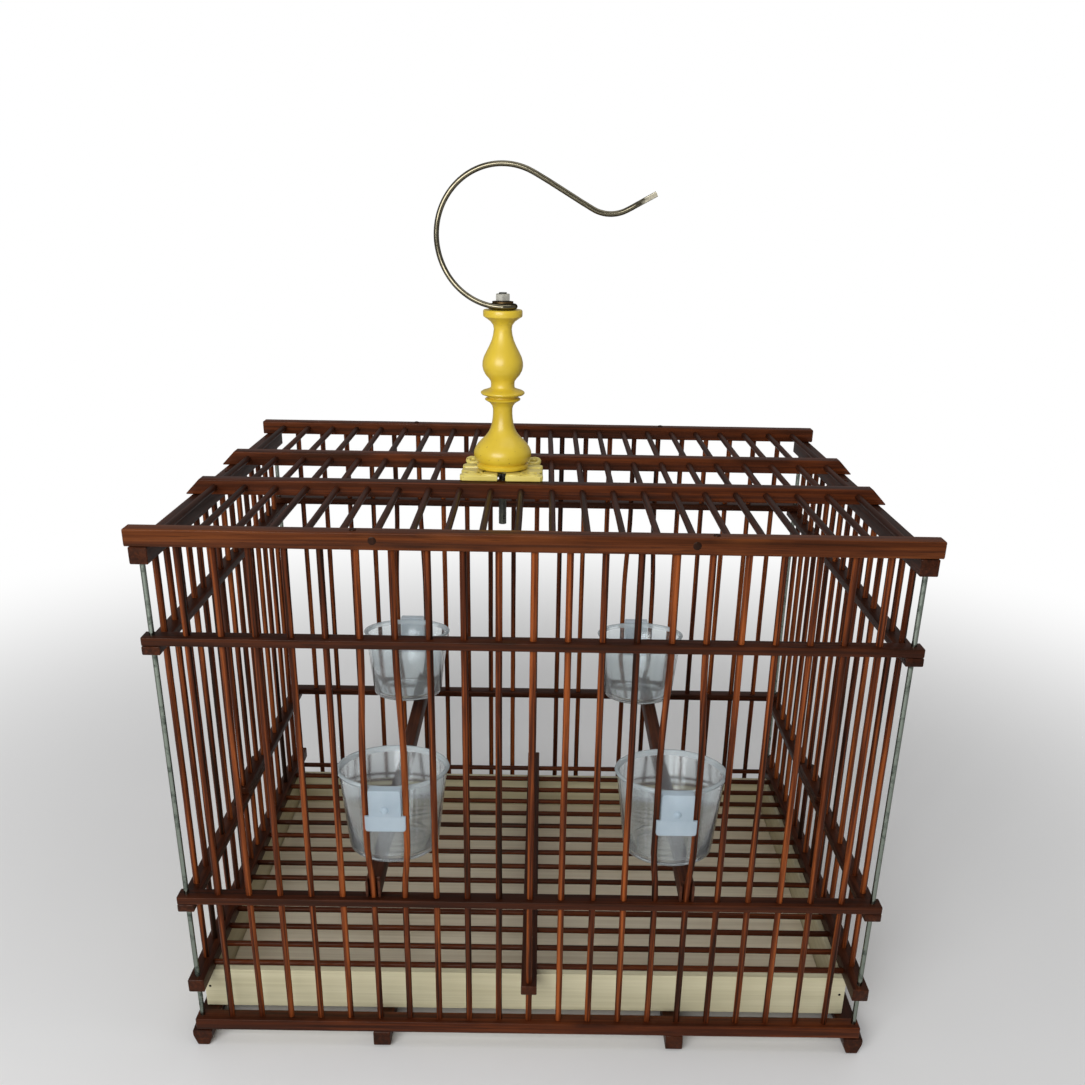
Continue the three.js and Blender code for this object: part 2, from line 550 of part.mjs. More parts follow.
// the hook: an eye round the rod, one big bend up and over the finial, a straight fall
// and a turned-up tip, all but the eye in the finial's plane
function hookPoints() {
  const points = [];
  const add = (x, y, z) => points.push(new THREE.Vector3(FINIAL_X + x, FINIAL_Y + y, eyeZ + z));
  const sweep = (from, to, each) => {
    const count = Math.round(Math.abs(to - from) / CURVE_STEP);
    for (let i = 1; i <= count; i += 1) each(from + (to - from) * i / count);
  };
  const front = -Math.PI / 2;
  sweep(front + EYE_TURN, front, (a) => add(EYE_R * Math.cos(a), EYE_R * Math.sin(a), 0));
  sweep(BEND_LOW, BEND_HIGH, (a) => {
    const aside = Math.max(0, (a - BEND_STRAIGHT) / (BEND_LOW - BEND_STRAIGHT));
    add(HOOK_BEND_R * Math.cos(a), -EYE_R * aside, HOOK_BEND_R * (1 + Math.sin(a)));
  });

  // from the big bend a straight fall, then the tip's bend about a middle above it
  const along = ([x, z], turn, length) => [x + length * Math.cos(turn), z + length * Math.sin(turn)];
  const heading = BEND_HIGH - Math.PI / 2;
  const bendEnd = [HOOK_BEND_R * Math.cos(BEND_HIGH), HOOK_BEND_R * (1 + Math.sin(BEND_HIGH))];
  const middle = along(along(bendEnd, heading, FALL_L), heading + Math.PI / 2, TIP_BEND_R);
  const onBend = (a) => along(middle, a - Math.PI / 2, TIP_BEND_R);
  const put = ([x, z]) => add(x, 0, z);
  put(onBend(heading));
  sweep(heading, heading + TIP_TURN, (a) => put(onBend(a)));
  put(along(onBend(heading + TIP_TURN), heading + TIP_TURN, TIP_L));
  return points;
}

const hookCurve = new THREE.CatmullRomCurve3(hookPoints(), false, "centripetal");
const wire = new THREE.Shape();
wire.absarc(0, 0, HOOK_R, 0, 2 * Math.PI, false);
const hookShape = new THREE.ExtrudeGeometry(wire, {
  steps: HOOK_STEPS, curveSegments: BAR_SIDES / 2, extrudePath: hookCurve, bevelEnabled: false,
});
piece("hook", solidOf(hookShape), steel());

export default cage;
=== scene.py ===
import math
import random

import bmesh
import bpy
from mathutils import Matrix, Vector, noise


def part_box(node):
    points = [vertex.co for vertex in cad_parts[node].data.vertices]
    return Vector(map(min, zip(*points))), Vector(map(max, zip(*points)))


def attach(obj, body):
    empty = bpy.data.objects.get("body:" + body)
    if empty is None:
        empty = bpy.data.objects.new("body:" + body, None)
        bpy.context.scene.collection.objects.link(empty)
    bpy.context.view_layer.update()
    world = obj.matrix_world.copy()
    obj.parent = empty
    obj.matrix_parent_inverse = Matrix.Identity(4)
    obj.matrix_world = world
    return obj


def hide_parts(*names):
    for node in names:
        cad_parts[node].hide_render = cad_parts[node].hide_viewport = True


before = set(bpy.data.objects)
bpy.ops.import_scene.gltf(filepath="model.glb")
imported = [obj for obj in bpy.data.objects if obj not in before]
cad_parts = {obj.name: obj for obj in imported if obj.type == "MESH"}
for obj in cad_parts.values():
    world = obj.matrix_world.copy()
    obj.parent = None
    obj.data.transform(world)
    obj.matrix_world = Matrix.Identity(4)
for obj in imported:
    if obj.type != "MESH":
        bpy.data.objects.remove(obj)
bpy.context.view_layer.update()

# ---- Camera ------------------------------------------------------------------------
# The cage was photographed from a little above and close in front, with the camera
# tilted down and a hair out of level. The lens's own axis falls below the middle.
PHOTO_SIZE = 1085
FOCAL_LENGTH = 1070.3
AXIS_BELOW_MIDDLE = 112.05
CAMERA_PLACE = Vector((0.0029, -0.6965, 0.50195))
CAMERA_YAW = 0.004
CAMERA_PITCH = 0.396
CAMERA_ROLL = -0.017

camera_data = bpy.data.cameras.new("photo_camera")
camera_data.sensor_width = 36
camera_data.lens = camera_data.sensor_width * FOCAL_LENGTH / PHOTO_SIZE
camera_data.shift_y = AXIS_BELOW_MIDDLE / PHOTO_SIZE
camera_data.clip_start = 0.02
camera = bpy.data.objects.new("photo_camera", camera_data)
ahead = Vector((math.sin(CAMERA_YAW) * math.cos(CAMERA_PITCH),
                math.cos(CAMERA_YAW) * math.cos(CAMERA_PITCH), -math.sin(CAMERA_PITCH)))
level_right = Vector((math.cos(CAMERA_YAW), -math.sin(CAMERA_YAW), 0))
level_down = ahead.cross(level_right)
right = level_right * math.cos(CAMERA_ROLL) + level_down * math.sin(CAMERA_ROLL)
down = level_down * math.cos(CAMERA_ROLL) - level_right * math.sin(CAMERA_ROLL)
camera.matrix_world = Matrix((
    (right.x, -down.x, -ahead.x, CAMERA_PLACE.x),
    (right.y, -down.y, -ahead.y, CAMERA_PLACE.y),
    (right.z, -down.z, -ahead.z, CAMERA_PLACE.z),
    (0, 0, 0, 1)))
bpy.context.scene.collection.objects.link(camera)
bpy.context.scene.camera = camera
bpy.context.scene.view_settings.view_transform = "Standard"

# ---- Studio floor and light --------------------------------------------------------
# A pale matt floor that runs out to white, one big soft light low in front, which
# leaves the rails' upper faces darker than their fronts, and a weaker one overhead.
MM = 0.001
FLOOR_GREY = 0.86
FLOOR_RADIUS = 9
FLOOR_DROP = 0.2 * MM
WHITE_FROM, WHITE_BY = 0.35, 1.1
UNSEEN_SKY = 0.30
LAMPS_AIM = Vector((0, 0, 0.22))


class Value:
    """A number or colour that changes over a surface. Arithmetic on it adds Math nodes."""

    def __init__(self, finish, socket):
        self.finish = finish
        self.socket = socket

    def math(self, operation, *operands):
        inputs = dict(enumerate(operands))
        return self.finish.node("ShaderNodeMath", {"operation": operation}, inputs)

    def __add__(self, other):
        return self.math("ADD", self, other)

    def __sub__(self, other):
        return self.math("SUBTRACT", self, other)

    def __rsub__(self, other):
        return self.math("SUBTRACT", other, self)

    def __mul__(self, other):
        return self.math("MULTIPLY", self, other)

    __radd__ = __add__
    __rmul__ = __mul__


class Finish:
    """A material under construction. node() makes any node, and the methods after it
    make the kinds that most of the materials use."""

    def __init__(self, name):
        self.material = bpy.data.materials.new(name)
        self.material.use_nodes = True
        self.tree = self.material.node_tree
        self.tree.nodes.clear()
        self.output = self.tree.nodes.new("ShaderNodeOutputMaterial")

    def node(self, kind, settings=None, inputs=None, output=0):
        made = self.tree.nodes.new(kind)
        for key, value in (settings or {}).items():
            if key == "stops":
                ramp = made.color_ramp
                while len(ramp.elements) < len(value):
                    ramp.elements.new(0.5)
                for element, (position, color) in zip(ramp.elements, value):
                    element.position = position
                    element.color = color
            else:
                setattr(made, key, value)
        for key, value in (inputs or {}).items():
            if isinstance(value, Value):
                self.tree.links.new(value.socket, made.inputs[key])
            else:
                made.inputs[key].default_value = value
        return Value(self, made.outputs[output])

    def place(self):
        """Where a point of the surface is, in metres."""
        return self.node("ShaderNodeTexCoord", {}, {}, "Object")

    def stretched(self, place, scale):
        """The place with each axis scaled on its own, for streaks."""
        return self.node("ShaderNodeVectorMath", {"operation": "MULTIPLY"}, {0: place, 1: scale})

    def cloud(self, place, scale, detail, **more):
        """Soft random spots; the greater the scale, the smaller they are."""
        inputs = {"Vector": place, "Scale": scale, "Detail": detail, **more}
        return self.node("ShaderNodeTexNoise", {}, inputs)

    def share(self, value, low, high):
        """0 below low, 1 above high, and evenly in between."""
        return self.node("ShaderNodeMapRange", {}, {"Value": value, "From Min": low, "From Max": high})

    def blend(self, share, one, two):
        """Colour one where the share is 0, colour two where it is 1."""
        return self.node("ShaderNodeMix", {"data_type": "RGBA"}, {"Factor": share, 6: one, 7: two}, 2)

    def eased_edge_mask(self):
        """1 at the eased edges of a piece, 0 on its faces."""
        return self.node("ShaderNodeAttribute", {"attribute_name": "edge"}, {}, "Fac")

    def bump(self, height, strength, distance):
        """Fine relief in the surface, up to distance high."""
        inputs = {"Height": height, "Strength": strength, "Distance": distance}
        return self.node("ShaderNodeBump", {}, inputs)

    def surface(self, inputs):
        """A Principled shader with these inputs, as the material's surface."""
        shader = self.node("ShaderNodeBsdfPrincipled", {}, inputs)
        self.tree.links.new(shader.socket, self.output.inputs["Surface"])
        return self.material


def linear(red, green, blue):
    """A colour as it looks on screen, 0 to 255, as the shader's own linear values."""
    def one(level):
        level /= 255
        return level / 12.92 if level <= 0.04045 else ((level + 0.055) / 1.055) ** 2.4
    return one(red), one(green), one(blue), 1


def grey(level):
    """A grey of this linear level, opaque."""
    return level, level, level, 1


floor_finish = Finish("studio_floor")
place = floor_finish.place()
distance = floor_finish.node("ShaderNodeVectorMath", {"operation": "LENGTH"}, {0: place}, "Value")
far_off = floor_finish.node("ShaderNodeMapRange", {"interpolation_type": "SMOOTHSTEP"},
                            {"Value": distance, "From Min": WHITE_FROM, "From Max": WHITE_BY})
seen = floor_finish.node("ShaderNodeLightPath", {}, {}, "Is Camera Ray")
seen = seen + floor_finish.node("ShaderNodeLightPath", {}, {}, "Is Transmission Ray")
matt = floor_finish.node("ShaderNodeBsdfDiffuse", {}, {"Color": grey(FLOOR_GREY)})
white = floor_finish.node("ShaderNodeEmission", {}, {"Color": grey(1), "Strength": 1})
both = floor_finish.node("ShaderNodeMixShader", {},
                         {0: seen.math("MINIMUM", seen, 1) * far_off, 1: matt, 2: white})
floor_finish.tree.links.new(both.socket, floor_finish.output.inputs["Surface"])

bpy.ops.mesh.primitive_circle_add(vertices=96, radius=FLOOR_RADIUS, fill_type="NGON",
                                  location=(0, 0, -FLOOR_DROP))
floor = bpy.context.object
floor.name = "studio_floor"
floor.data.materials.append(floor_finish.material)

world = bpy.data.worlds.new("studio_world")
world.use_nodes = True
bpy.context.scene.world = world
sky = world.node_tree.nodes["Background"]
path = world.node_tree.nodes.new("ShaderNodeLightPath")
shown = world.node_tree.nodes.new("ShaderNodeMapRange")
shown.inputs["To Min"].default_value = UNSEEN_SKY
shown.inputs["To Max"].default_value = 1.0
world.node_tree.links.new(path.outputs["Is Camera Ray"], shown.inputs["Value"])
world.node_tree.links.new(shown.outputs["Result"], sky.inputs["Strength"])
sky.inputs["Color"].default_value = grey(1)


def soft_light(name, place, size, power):
    """A rectangular lamp at a place, size in metres, turned to the cage's middle."""
    data = bpy.data.lights.new(name, "AREA")
    data.shape = "RECTANGLE"
    data.size, data.size_y = size
    data.energy = power
    lamp = bpy.data.objects.new(name, data)
    lamp.location = place
    lamp.rotation_euler = (LAMPS_AIM - Vector(place)).to_track_quat("-Z", "Y").to_euler()
    bpy.context.scene.collection.objects.link(lamp)


soft_light("front_light", (-0.45, -1.25, 0.80), (1.0, 0.7), 15)
soft_light("top_light", (0.3, 0.1, 2.2), (1.6, 1.6), 9)

# ---- Foot rails and cross rails ----------------------------------------------------
# Two foot rails run front to back under the cage's ends and carry it; two thinner
# rails between them carry the tray. Hardwood, planed, with a thick red-brown varnish.
PITCH = 19 * MM
RAIL = 10 * MM


def varnish(name, along, light, body, dark, dullness=0.47, contrast=1.0):
    """Red-brown varnish over straight-grained hardwood. along is the grain's axis."""
    finish = Finish(name)
    place = finish.place()

    def streaks(across, lengthwise, detail, **more):
        scale = [across, across, across]
        scale["xyz".index(along)] = lengthwise
        return finish.cloud(finish.stretched(place, scale), 1.0, detail, **more)

    grain = streaks(520.0, 9.0, 5.0, Roughness=0.6, Distortion=0.2)
    pores = streaks(1500.0, 60.0, 2.0)
    bands = streaks(90.0, 5.0, 3.0)
    patches = finish.cloud(place, 24.0, 2.0)
    tone = (grain * 0.62 + bands * 0.38 - 0.5) * contrast + 0.5
    stops = [(0.34, dark), (0.5, body), (0.7, light)]
    color = finish.node("ShaderNodeValToRGB", {"stops": stops}, {0: tone})
    pore_mask = finish.share(pores, 0.58, 0.70)
    color = finish.blend(pore_mask * 0.5, color, dark)
    # Paler patches along the eased edges: rubbed wear, and painted highlight where the edges catch the
    # light.
    edge = finish.eased_edge_mask()
    rub_and_highlight = finish.share(patches, 0.5, 0.72)
    color = finish.blend(rub_and_highlight * edge * 0.5, color, light)
    bump = finish.bump(grain * 0.6 - pore_mask * 0.4, 0.22, 0.3 * MM)
    return finish.surface({"Base Color": color, "Roughness": patches * 0.2 + dullness,
                           "Specular IOR Level": 0.22, "Specular Tint": (0.8, 0.46, 0.28, 1),
                           "Coat Weight": 0.1, "Coat Roughness": 0.12, "Normal": bump})


LIGHT_BROWN = linear(108, 52, 22)
BODY_BROWN = linear(62, 25, 10)
DARK_BROWN = linear(22, 8, 4)
varnish_x = varnish("varnish_grain_across", "x", LIGHT_BROWN, BODY_BROWN, DARK_BROWN)
varnish_y = varnish("varnish_grain_deep", "y", linear(80, 38, 18), linear(48, 20, 10), DARK_BROWN)
varnish_z = varnish("varnish_grain_upright", "z", linear(146, 76, 34), linear(80, 34, 14), DARK_BROWN,
                    contrast=1.7)
varnish_mid = varnish("varnish_middle_rails", "x", linear(80, 37, 17), linear(46, 18, 8), linear(18, 7, 4))
varnish_top = varnish("varnish_front_top_rail", "x", linear(118, 64, 28), linear(78, 36, 14),
                      linear(34, 13, 5))


def finished(name, mesh, body, slot, material, *nodes):
    """Makes the object of a mesh, on its body, standing for these nodes."""
    data = bpy.data.meshes.new(name)
    bmesh.ops.recalc_face_normals(mesh, faces=mesh.faces)
    mesh.to_mesh(data)
    mesh.free()
    data.materials.append(material)
    data.shade_smooth()
    data.set_sharp_from_angle(angle=math.radians(38))
    made = bpy.data.objects.new(name, data)
    bpy.context.scene.collection.objects.link(made)
    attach(made, body)
    if nodes:
        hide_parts(*nodes)
    return made


def skin(mesh, rings, close_ends=True):
    """Faces between rings of points; returns the rings of vertices."""
    made = [[mesh.verts.new(point) for point in ring] for ring in rings]
    for one, two in zip(made, made[1:]):
        count = len(one)
        for i in range(count):
            mesh.faces.new((one[i], one[(i + 1) % count], two[(i + 1) % count], two[i]))
    if close_ends:
        mesh.faces.new(made[0])
        mesh.faces.new(reversed(made[-1]))
    return made


def rail_section(width, height, ease):
    """Outline of a rail seen from its end, its four corners eased; 1 marks an edge."""
    outline = []
    corners = ((-1, -1, 180), (1, -1, 270), (1, 1, 0), (-1, 1, 90))
    for side, level, start in corners:
        for step in range(4):
            angle = math.radians(start + 30 * step)
            outline.append((side * (width / 2 - ease) + ease * math.cos(angle),
                            level * (height / 2 - ease) + ease * math.sin(angle), 1.0))
        outline.append((0, level * height / 2, 0.0) if side == level else (side * width / 2, 0, 0.0))
    return outline


EASE = 0.7 * MM
RAIL_STEP = 12 * MM
RAIL_SWAY = 0.07 * MM
TOOL_MARKS = 0.06 * MM
wobble_rng = random.Random(19)


def rail(mesh, low, high, along, ease=EASE, slant=0.0):
    """A planed rail in the box from low to high, a little uneven, with eased edges. Its
    ends lean back by slant towards the top."""
    width = high[0] - low[0] if along == "y" else high[1] - low[1]
    height = high[2] - low[2]
    middle = (Vector(low) + Vector(high)) / 2
    start, end = (low[1], high[1]) if along == "y" else (low[0], high[0])
    section = rail_section(width, height, ease)
    count = max(2, round((end - start) / RAIL_STEP))
    seed = wobble_rng.uniform(0, 90)
    rings = []
    edges = []
    for index in range(-1, count + 2):
        t = min(max(index, 0), count) / count
        at_end = t in (0, 1)
        outermost = index in (-1, count + 1)
        inward = 1 if t < 0.5 else -1
        place = start + (end - start) * t
        sway = 0.0 if at_end else noise.noise((place * 9, seed, 0)) * RAIL_SWAY
        ring = []
        for across, up, edge in section:
            rough = noise.noise((place * 60, across * 500, up * 500 + seed)) * TOOL_MARKS
            # the end face is a little smaller and its neighbour set in, for eased edges
            shrink = 1 - 1.2 * ease / height if outermost else 1.0
            run = place
            if at_end:
                run += inward * slant * (0.5 + up / height)
                run += 0 if outermost else inward * ease * 0.6
            ring.append((run, across * shrink * 0.995 + sway + rough, up * shrink + rough))
            edges.append(1.0 if at_end else edge)
        rings.append(ring)
    points = []
    for ring in rings:
        if along == "x":
            points.append([Vector((run, middle.y + across, middle.z + up)) for run, across, up in ring])
        else:
            points.append([Vector((middle.x + across, run, middle.z + up)) for run, across, up in ring])
    layer = mesh.verts.layers.float.get("edge") or mesh.verts.layers.float.new("edge")
    made = skin(mesh, points)
    for vertex, edge in zip((v for ring in made for v in ring), edges):
        vertex[layer] = edge


FOOT = 4 * MM
FOOT_TREAD = 0.5 * MM
FOOT_EASE = 0.6 * MM
FOOT_STEPS = 25
for side in ("left", "right"):
    low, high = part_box(side + "_foot_rail")
    mesh = bmesh.new()
    layer = mesh.verts.layers.float.new("edge")
    top, height = (high[0] - low[0]) / 2, high[2]
    middle = (low[0] + high[0]) / 2
    outline = [(-FOOT + FOOT_EASE, 0), (FOOT - FOOT_EASE, 0), (FOOT, FOOT_TREAD),
               (top * 0.86, height * 0.42), (top, height * 0.66), (top, height - FOOT_EASE),
               (top - FOOT_EASE, height)]
    outline += [(-x, z) for x, z in reversed(outline) if x > 0 and z > 0]
    rings = []
    for index in range(FOOT_STEPS + 1):
        y = low[1] + (high[1] - low[1]) * index / FOOT_STEPS
        shrink = 0.93 if index in (0, FOOT_STEPS) else 1.0
        rings.append([Vector((middle + x * shrink, y, 0.5 * height * (1 - shrink) + z * shrink))
                      for x, z in outline])
    skin(mesh, rings)
    finished(side + "_foot", mesh, "cage", "varnished_wood", varnish_y, side + "_foot_rail")

    low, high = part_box(side + "_cross_rail")
    mesh = bmesh.new()
    rail(mesh, low, high, "y")
    finished(side + "_tray_rail", mesh, "cage", "varnished_wood", varnish_y, side + "_cross_rail")

# ---- Corner rods -------------------------------------------------------------------
# Four drawn steel rods run through the stacked ends of the rails and pin them together.
# They show between the rails, bright with a greenish grey film.


def tube(mesh, path, radius, sides=12, seed=None, dome=0.35):
    """A round bar along a path, a little uneven where a seed is given, with eased ends."""
    path = [Vector(point) for point in path]
    first = (path[1] - path[0]).normalized()
    across = Vector((0, 1, 0)) if abs(first.y) < 0.8 else Vector((1, 0, 0))
    across = (across - first * across.dot(first)).normalized()
    rings = []
    for index, point in enumerate(path):
        before = path[max(index - 1, 0)]
        after = path[min(index + 1, len(path) - 1)]
        run = (after - before).normalized()
        across = (across - run * across.dot(run)).normalized()
        other = run.cross(across)
        ring = []
        for side in range(sides):
            angle = 2 * math.pi * side / sides
            reach = radius
            if seed is not None:
                reach *= 1 + 0.05 * noise.noise((seed, index * 0.7, math.cos(angle)))
            ring.append(point + (across * math.cos(angle) + other * math.sin(angle)) * reach)
        rings.append(ring)
    for end, step in ((0, 1), (-1, -1)):
        centre = path[end]
        out = (centre - path[end + step]).normalized() * radius * dome
        cap = [centre + (point - centre) * 0.72 + out for point in rings[end]]
        if end == 0:
            rings.insert(0, cap)
        else:
            rings.append(cap)
    skin(mesh, rings)


def steel(name, color, rough, film, dullness=0.6):
    """Drawn or plated steel with fine lengthwise scratches and a few dull spots."""
    finish = Finish(name)
    place = finish.place()
    scratch = finish.cloud(finish.stretched(place, (900, 900, 40)), 1.0, 3.0)
    spots = finish.cloud(place, 160.0, 4.0)
    dull = finish.share(spots, 0.52, 0.68)
    mixed = finish.blend(dull * dullness, color, film)
    bump = finish.bump(scratch, 0.12, 0.2 * MM)
    return finish.surface({"Base Color": mixed, "Metallic": 1 - dull * 0.25,
                           "Roughness": scratch * 0.16 + dull * 0.2 + rough,
                           "Specular Tint": (0.12, 0.11, 0.09, 1), "Normal": bump})


rod_steel = steel("corner_rod_steel", linear(134, 142, 132), 0.08, linear(52, 60, 54), 0.8)
ROD_RADIUS = 1.5 * MM
ROD_STEPS = 24
ROD_SUNK = 1.2 * MM
for name in ("front_left_rod", "front_right_rod", "back_left_rod", "back_right_rod"):
    low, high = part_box(name)
    mesh = bmesh.new()
    x, y = (low[0] + high[0]) / 2, (low[1] + high[1]) / 2
    top = high[2] - ROD_SUNK
    path = [(x, y, low[2] + (top - low[2]) * i / ROD_STEPS) for i in range(ROD_STEPS + 1)]
    tube(mesh, path, ROD_RADIUS, 14)
    finished(name + "_wire", mesh, "cage", "rod_steel", rod_steel, name)

# ---- Front and back walls ----------------------------------------------------------
# Each wall is a comb of round bars glued into its bottom rail, threaded through two
# thin rails and capped by the top rail. The bars beside a cup's clip are sprung apart.
BAR_RADIUS = 1.94 * MM
BAR_SIDES = 12
BAR_WANDER = 0.22 * MM
UPRIGHT_STEPS = 30
GLUED = 1 * MM
WALL_BARS = range(-10, 11)
# Between these heights the bars beside a clip are sprung apart, fully in the middle.
SPRUNG_FROM, SPRUNG_FULL = 116 * MM, 150 * MM
SPRUNG_FULL_TOP, SPRUNG_END = 206 * MM, 277.6 * MM
bar_rng = random.Random(5)


def bow(offset, level):
    """How far a bar sprung aside by offset stands off its own line, at a height."""
    if level <= SPRUNG_FROM or level >= SPRUNG_END:
        return 0.0
    t = 1.0
    if level < SPRUNG_FULL:
        t = (level - SPRUNG_FROM) / (SPRUNG_FULL - SPRUNG_FROM)
    elif level > SPRUNG_FULL_TOP:
        t = (SPRUNG_END - level) / (SPRUNG_END - SPRUNG_FULL_TOP)
    return offset * t * t * (3 - 2 * t)


def upright(mesh, x, y, low, high, spring=0.0, wander=BAR_WANDER):
    """A round bar from low to high, not quite straight, bowed aside by spring."""
    seed = bar_rng.uniform(0, 200)
    path = []
    for index in range(UPRIGHT_STEPS + 1):
        z = low + (high - low) * index / UPRIGHT_STEPS
        stray = wander * noise.noise((z * 14, seed, 0))
        slip = wander * noise.noise((z * 14, seed, 9))
        path.append((x + stray + bow(spring, z), y + slip, z))
    tube(mesh, path, BAR_RADIUS, BAR_SIDES, seed)


SPRUNG_ASIDE = 2.4 * MM
WALL_SILL_TOP = 20.5 * MM
THIN_EASE = 0.6 * MM
CLIP_GAPS = {"front": (-4.5, 4.5), "back": (-5.5, 4.5)}
for wall in ("front", "back"):
    comb = wall + "_bottom_rail_and_bars"
    low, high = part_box(comb)
    y = (low[1] + high[1]) / 2
    mesh = bmesh.new()
    for k in WALL_BARS:
        beside = [gap for gap in CLIP_GAPS[wall] if abs(k - gap) < 1]
        spring = sum(math.copysign(SPRUNG_ASIDE, k - gap) for gap in beside)
        upright(mesh, k * PITCH, y, WALL_SILL_TOP - GLUED, high[2], spring)
    finished(wall + "_bars", mesh, "cage", "varnished_wood", varnish_z, comb)
    mesh = bmesh.new()
    rail(mesh, low, (high[0], high[1], WALL_SILL_TOP), "x")
    finished(wall + "_bottom_rail", mesh, "cage", "varnished_wood", varnish_x, comb)
    for level in ("lower", "upper"):
        mesh = bmesh.new()
        rail(mesh, *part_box(f"{wall}_{level}_rail"), "x", THIN_EASE)
        finished(f"{wall}_{level}_rail_dressed", mesh, "cage", "varnished_wood", varnish_mid,
                 f"{wall}_{level}_rail")

# ---- Side walls and their doors ----------------------------------------------------
# The side walls are made the same way on a rail at floor level. Three bars in the
# middle of each are glued to a loose sill instead, and lift together as a door.
SIDE_BARS = range(-7, 8)
DOOR_BARS = range(-1, 2)
DOOR_HOLE = 2.35 * MM
SIDE_SILL = 9 * MM
DOOR_SILL = 5 * MM
DOOR_WANDER = 0.05 * MM


def bored(mesh, places):
    """The same rail with a hole for a door bar drilled right through it at each place."""
    drills = bmesh.new()
    for place in places:
        bmesh.ops.create_cone(drills, cap_ends=True, segments=20, radius1=DOOR_HOLE, radius2=DOOR_HOLE,
                              depth=3 * RAIL, matrix=Matrix.Translation(place))
    blanks = []
    for part in (mesh, drills):
        bmesh.ops.recalc_face_normals(part, faces=part.faces)
        data = bpy.data.meshes.new("blank")
        part.to_mesh(data)
        part.free()
        blank = bpy.data.objects.new("blank", data)
        bpy.context.scene.collection.objects.link(blank)
        blanks.append(blank)
    cut = blanks[0].modifiers.new("holes", "BOOLEAN")
    cut.object = blanks[1]
    cut.solver = "EXACT"
    drilled = bmesh.new()
    drilled.from_mesh(blanks[0].evaluated_get(bpy.context.evaluated_depsgraph_get()).to_mesh())
    for blank in blanks:
        bpy.data.objects.remove(blank)
    return drilled


for wall in ("left", "right"):
    comb = wall + "_floor_rail_and_bars"
    low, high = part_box(comb)
    x = (low[0] + high[0]) / 2
    sill_top = low[2] + SIDE_SILL
    door_sill_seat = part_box(wall + "_lower_rail")[0][2] + 2 * GLUED
    mesh = bmesh.new()
    for k in SIDE_BARS:
        end = door_sill_seat if k in DOOR_BARS else high[2]
        upright(mesh, x, k * PITCH, sill_top - GLUED, end)
    finished(wall + "_bars", mesh, "cage", "varnished_wood", varnish_z, comb)
    mesh = bmesh.new()
    rail(mesh, low, (high[0], high[1], sill_top), "y")
    finished(wall + "_floor_rail", mesh, "cage", "varnished_wood", varnish_y, comb)
    for level in ("lower", "upper", "top"):
        mesh = bmesh.new()
        rail_low, rail_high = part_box(f"{wall}_{level}_rail")
        rail(mesh, rail_low, rail_high, "y", THIN_EASE)
        if level != "lower":
            mesh = bored(mesh, [(x, k * PITCH, rail_low[2]) for k in DOOR_BARS])
        finished(f"{wall}_{level}_rail_dressed", mesh, "cage", "varnished_wood", varnish_y,
                 f"{wall}_{level}_rail")

    low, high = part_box(wall + "_door")
    mesh = bmesh.new()
    for k in DOOR_BARS:
        upright(mesh, x, k * PITCH, low[2] + DOOR_SILL - GLUED, high[2], 0.0, DOOR_WANDER)
    finished(wall + "_door_bars", mesh, wall + "_door", "varnished_wood", varnish_z, wall + "_door")
    mesh = bmesh.new()
    rail(mesh, low, (high[0], high[1], low[2] + DOOR_SILL), "y", THIN_EASE)
    finished(wall + "_door_sill", mesh, wall + "_door", "varnished_wood", varnish_y, wall + "_door")

# ---- The top -----------------------------------------------------------------------
# The top bars run front to back between two top rails, through two beams with bevelled
# ends. The front rail's face is paler, with two plugged holes; pins show on both rails.
front_low, front_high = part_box("front_top_rail_and_top_bars")
back_low, back_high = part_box("back_top_rail")
top_level = (back_low[2] + back_high[2]) / 2

TOP_BARS = 22
TOP_STEPS = 24
TOP_WANDER = 0.25 * MM
LYING_SAG = 0.2 * MM
mesh = bmesh.new()
for k in range(TOP_BARS):
    x = (k - (TOP_BARS - 1) / 2) * PITCH
    seed = bar_rng.uniform(0, 200)
    start = front_low[1] + RAIL - GLUED
    path = []
    for index in range(TOP_STEPS + 1):
        y = start + (front_high[1] - start) * index / TOP_STEPS
        stray = TOP_WANDER * noise.noise((y * 12, seed, 3))
        path.append((x + stray, y, top_level + LYING_SAG * noise.noise((y * 12, seed, 7))))
    tube(mesh, path, BAR_RADIUS, BAR_SIDES, seed)
finished("top_bars", mesh, "cage", "varnished_wood", varnish_y, "front_top_rail_and_top_bars")

mesh = bmesh.new()
rail(mesh, front_low, (front_high[0], front_low[1] + RAIL, back_high[2]), "x")
finished("front_top_rail", mesh, "cage", "varnished_wood", varnish_top, "front_top_rail_and_top_bars")
mesh = bmesh.new()
rail(mesh, back_low, back_high, "x")
finished("back_top_rail_dressed", mesh, "cage", "varnished_wood", varnish_x, "back_top_rail")

BEAM_BEVEL = 8.4 * MM
for name in ("front_beam", "back_beam"):
    mesh = bmesh.new()
    rail(mesh, *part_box(name), "x", slant=BEAM_BEVEL)
    finished(name + "_dressed", mesh, "cage", "varnished_wood", varnish_x, name)

PLUG_ASIDE, PLUG_LEVEL = 85.3 * MM, 339.3 * MM
PIN_ASIDE = 96 * MM
PLUG = ((2.3, 0.6), (2.3, 0.02), (2.0, -0.14), (1.2, -0.18))
PIN = ((1.9, 0.4), (1.9, -0.3), (1.5, -0.8), (0.7, -1.05))


def button(mesh, centre, profile, sides, faces_up=False):
    """A small round head set in a front or an upper face. Its profile is (radius, depth
    into the face), in millimetres."""
    rings = []
    for radius, depth in profile:
        ring = []
        for step in range(sides):
            across = radius * math.cos(math.tau * step / sides)
            up = radius * math.sin(math.tau * step / sides)
            offset = Vector((across, up, -depth) if faces_up else (across, depth, up))
            ring.append(Vector(centre) + offset * MM)
        rings.append(ring)
    skin(mesh, rings)


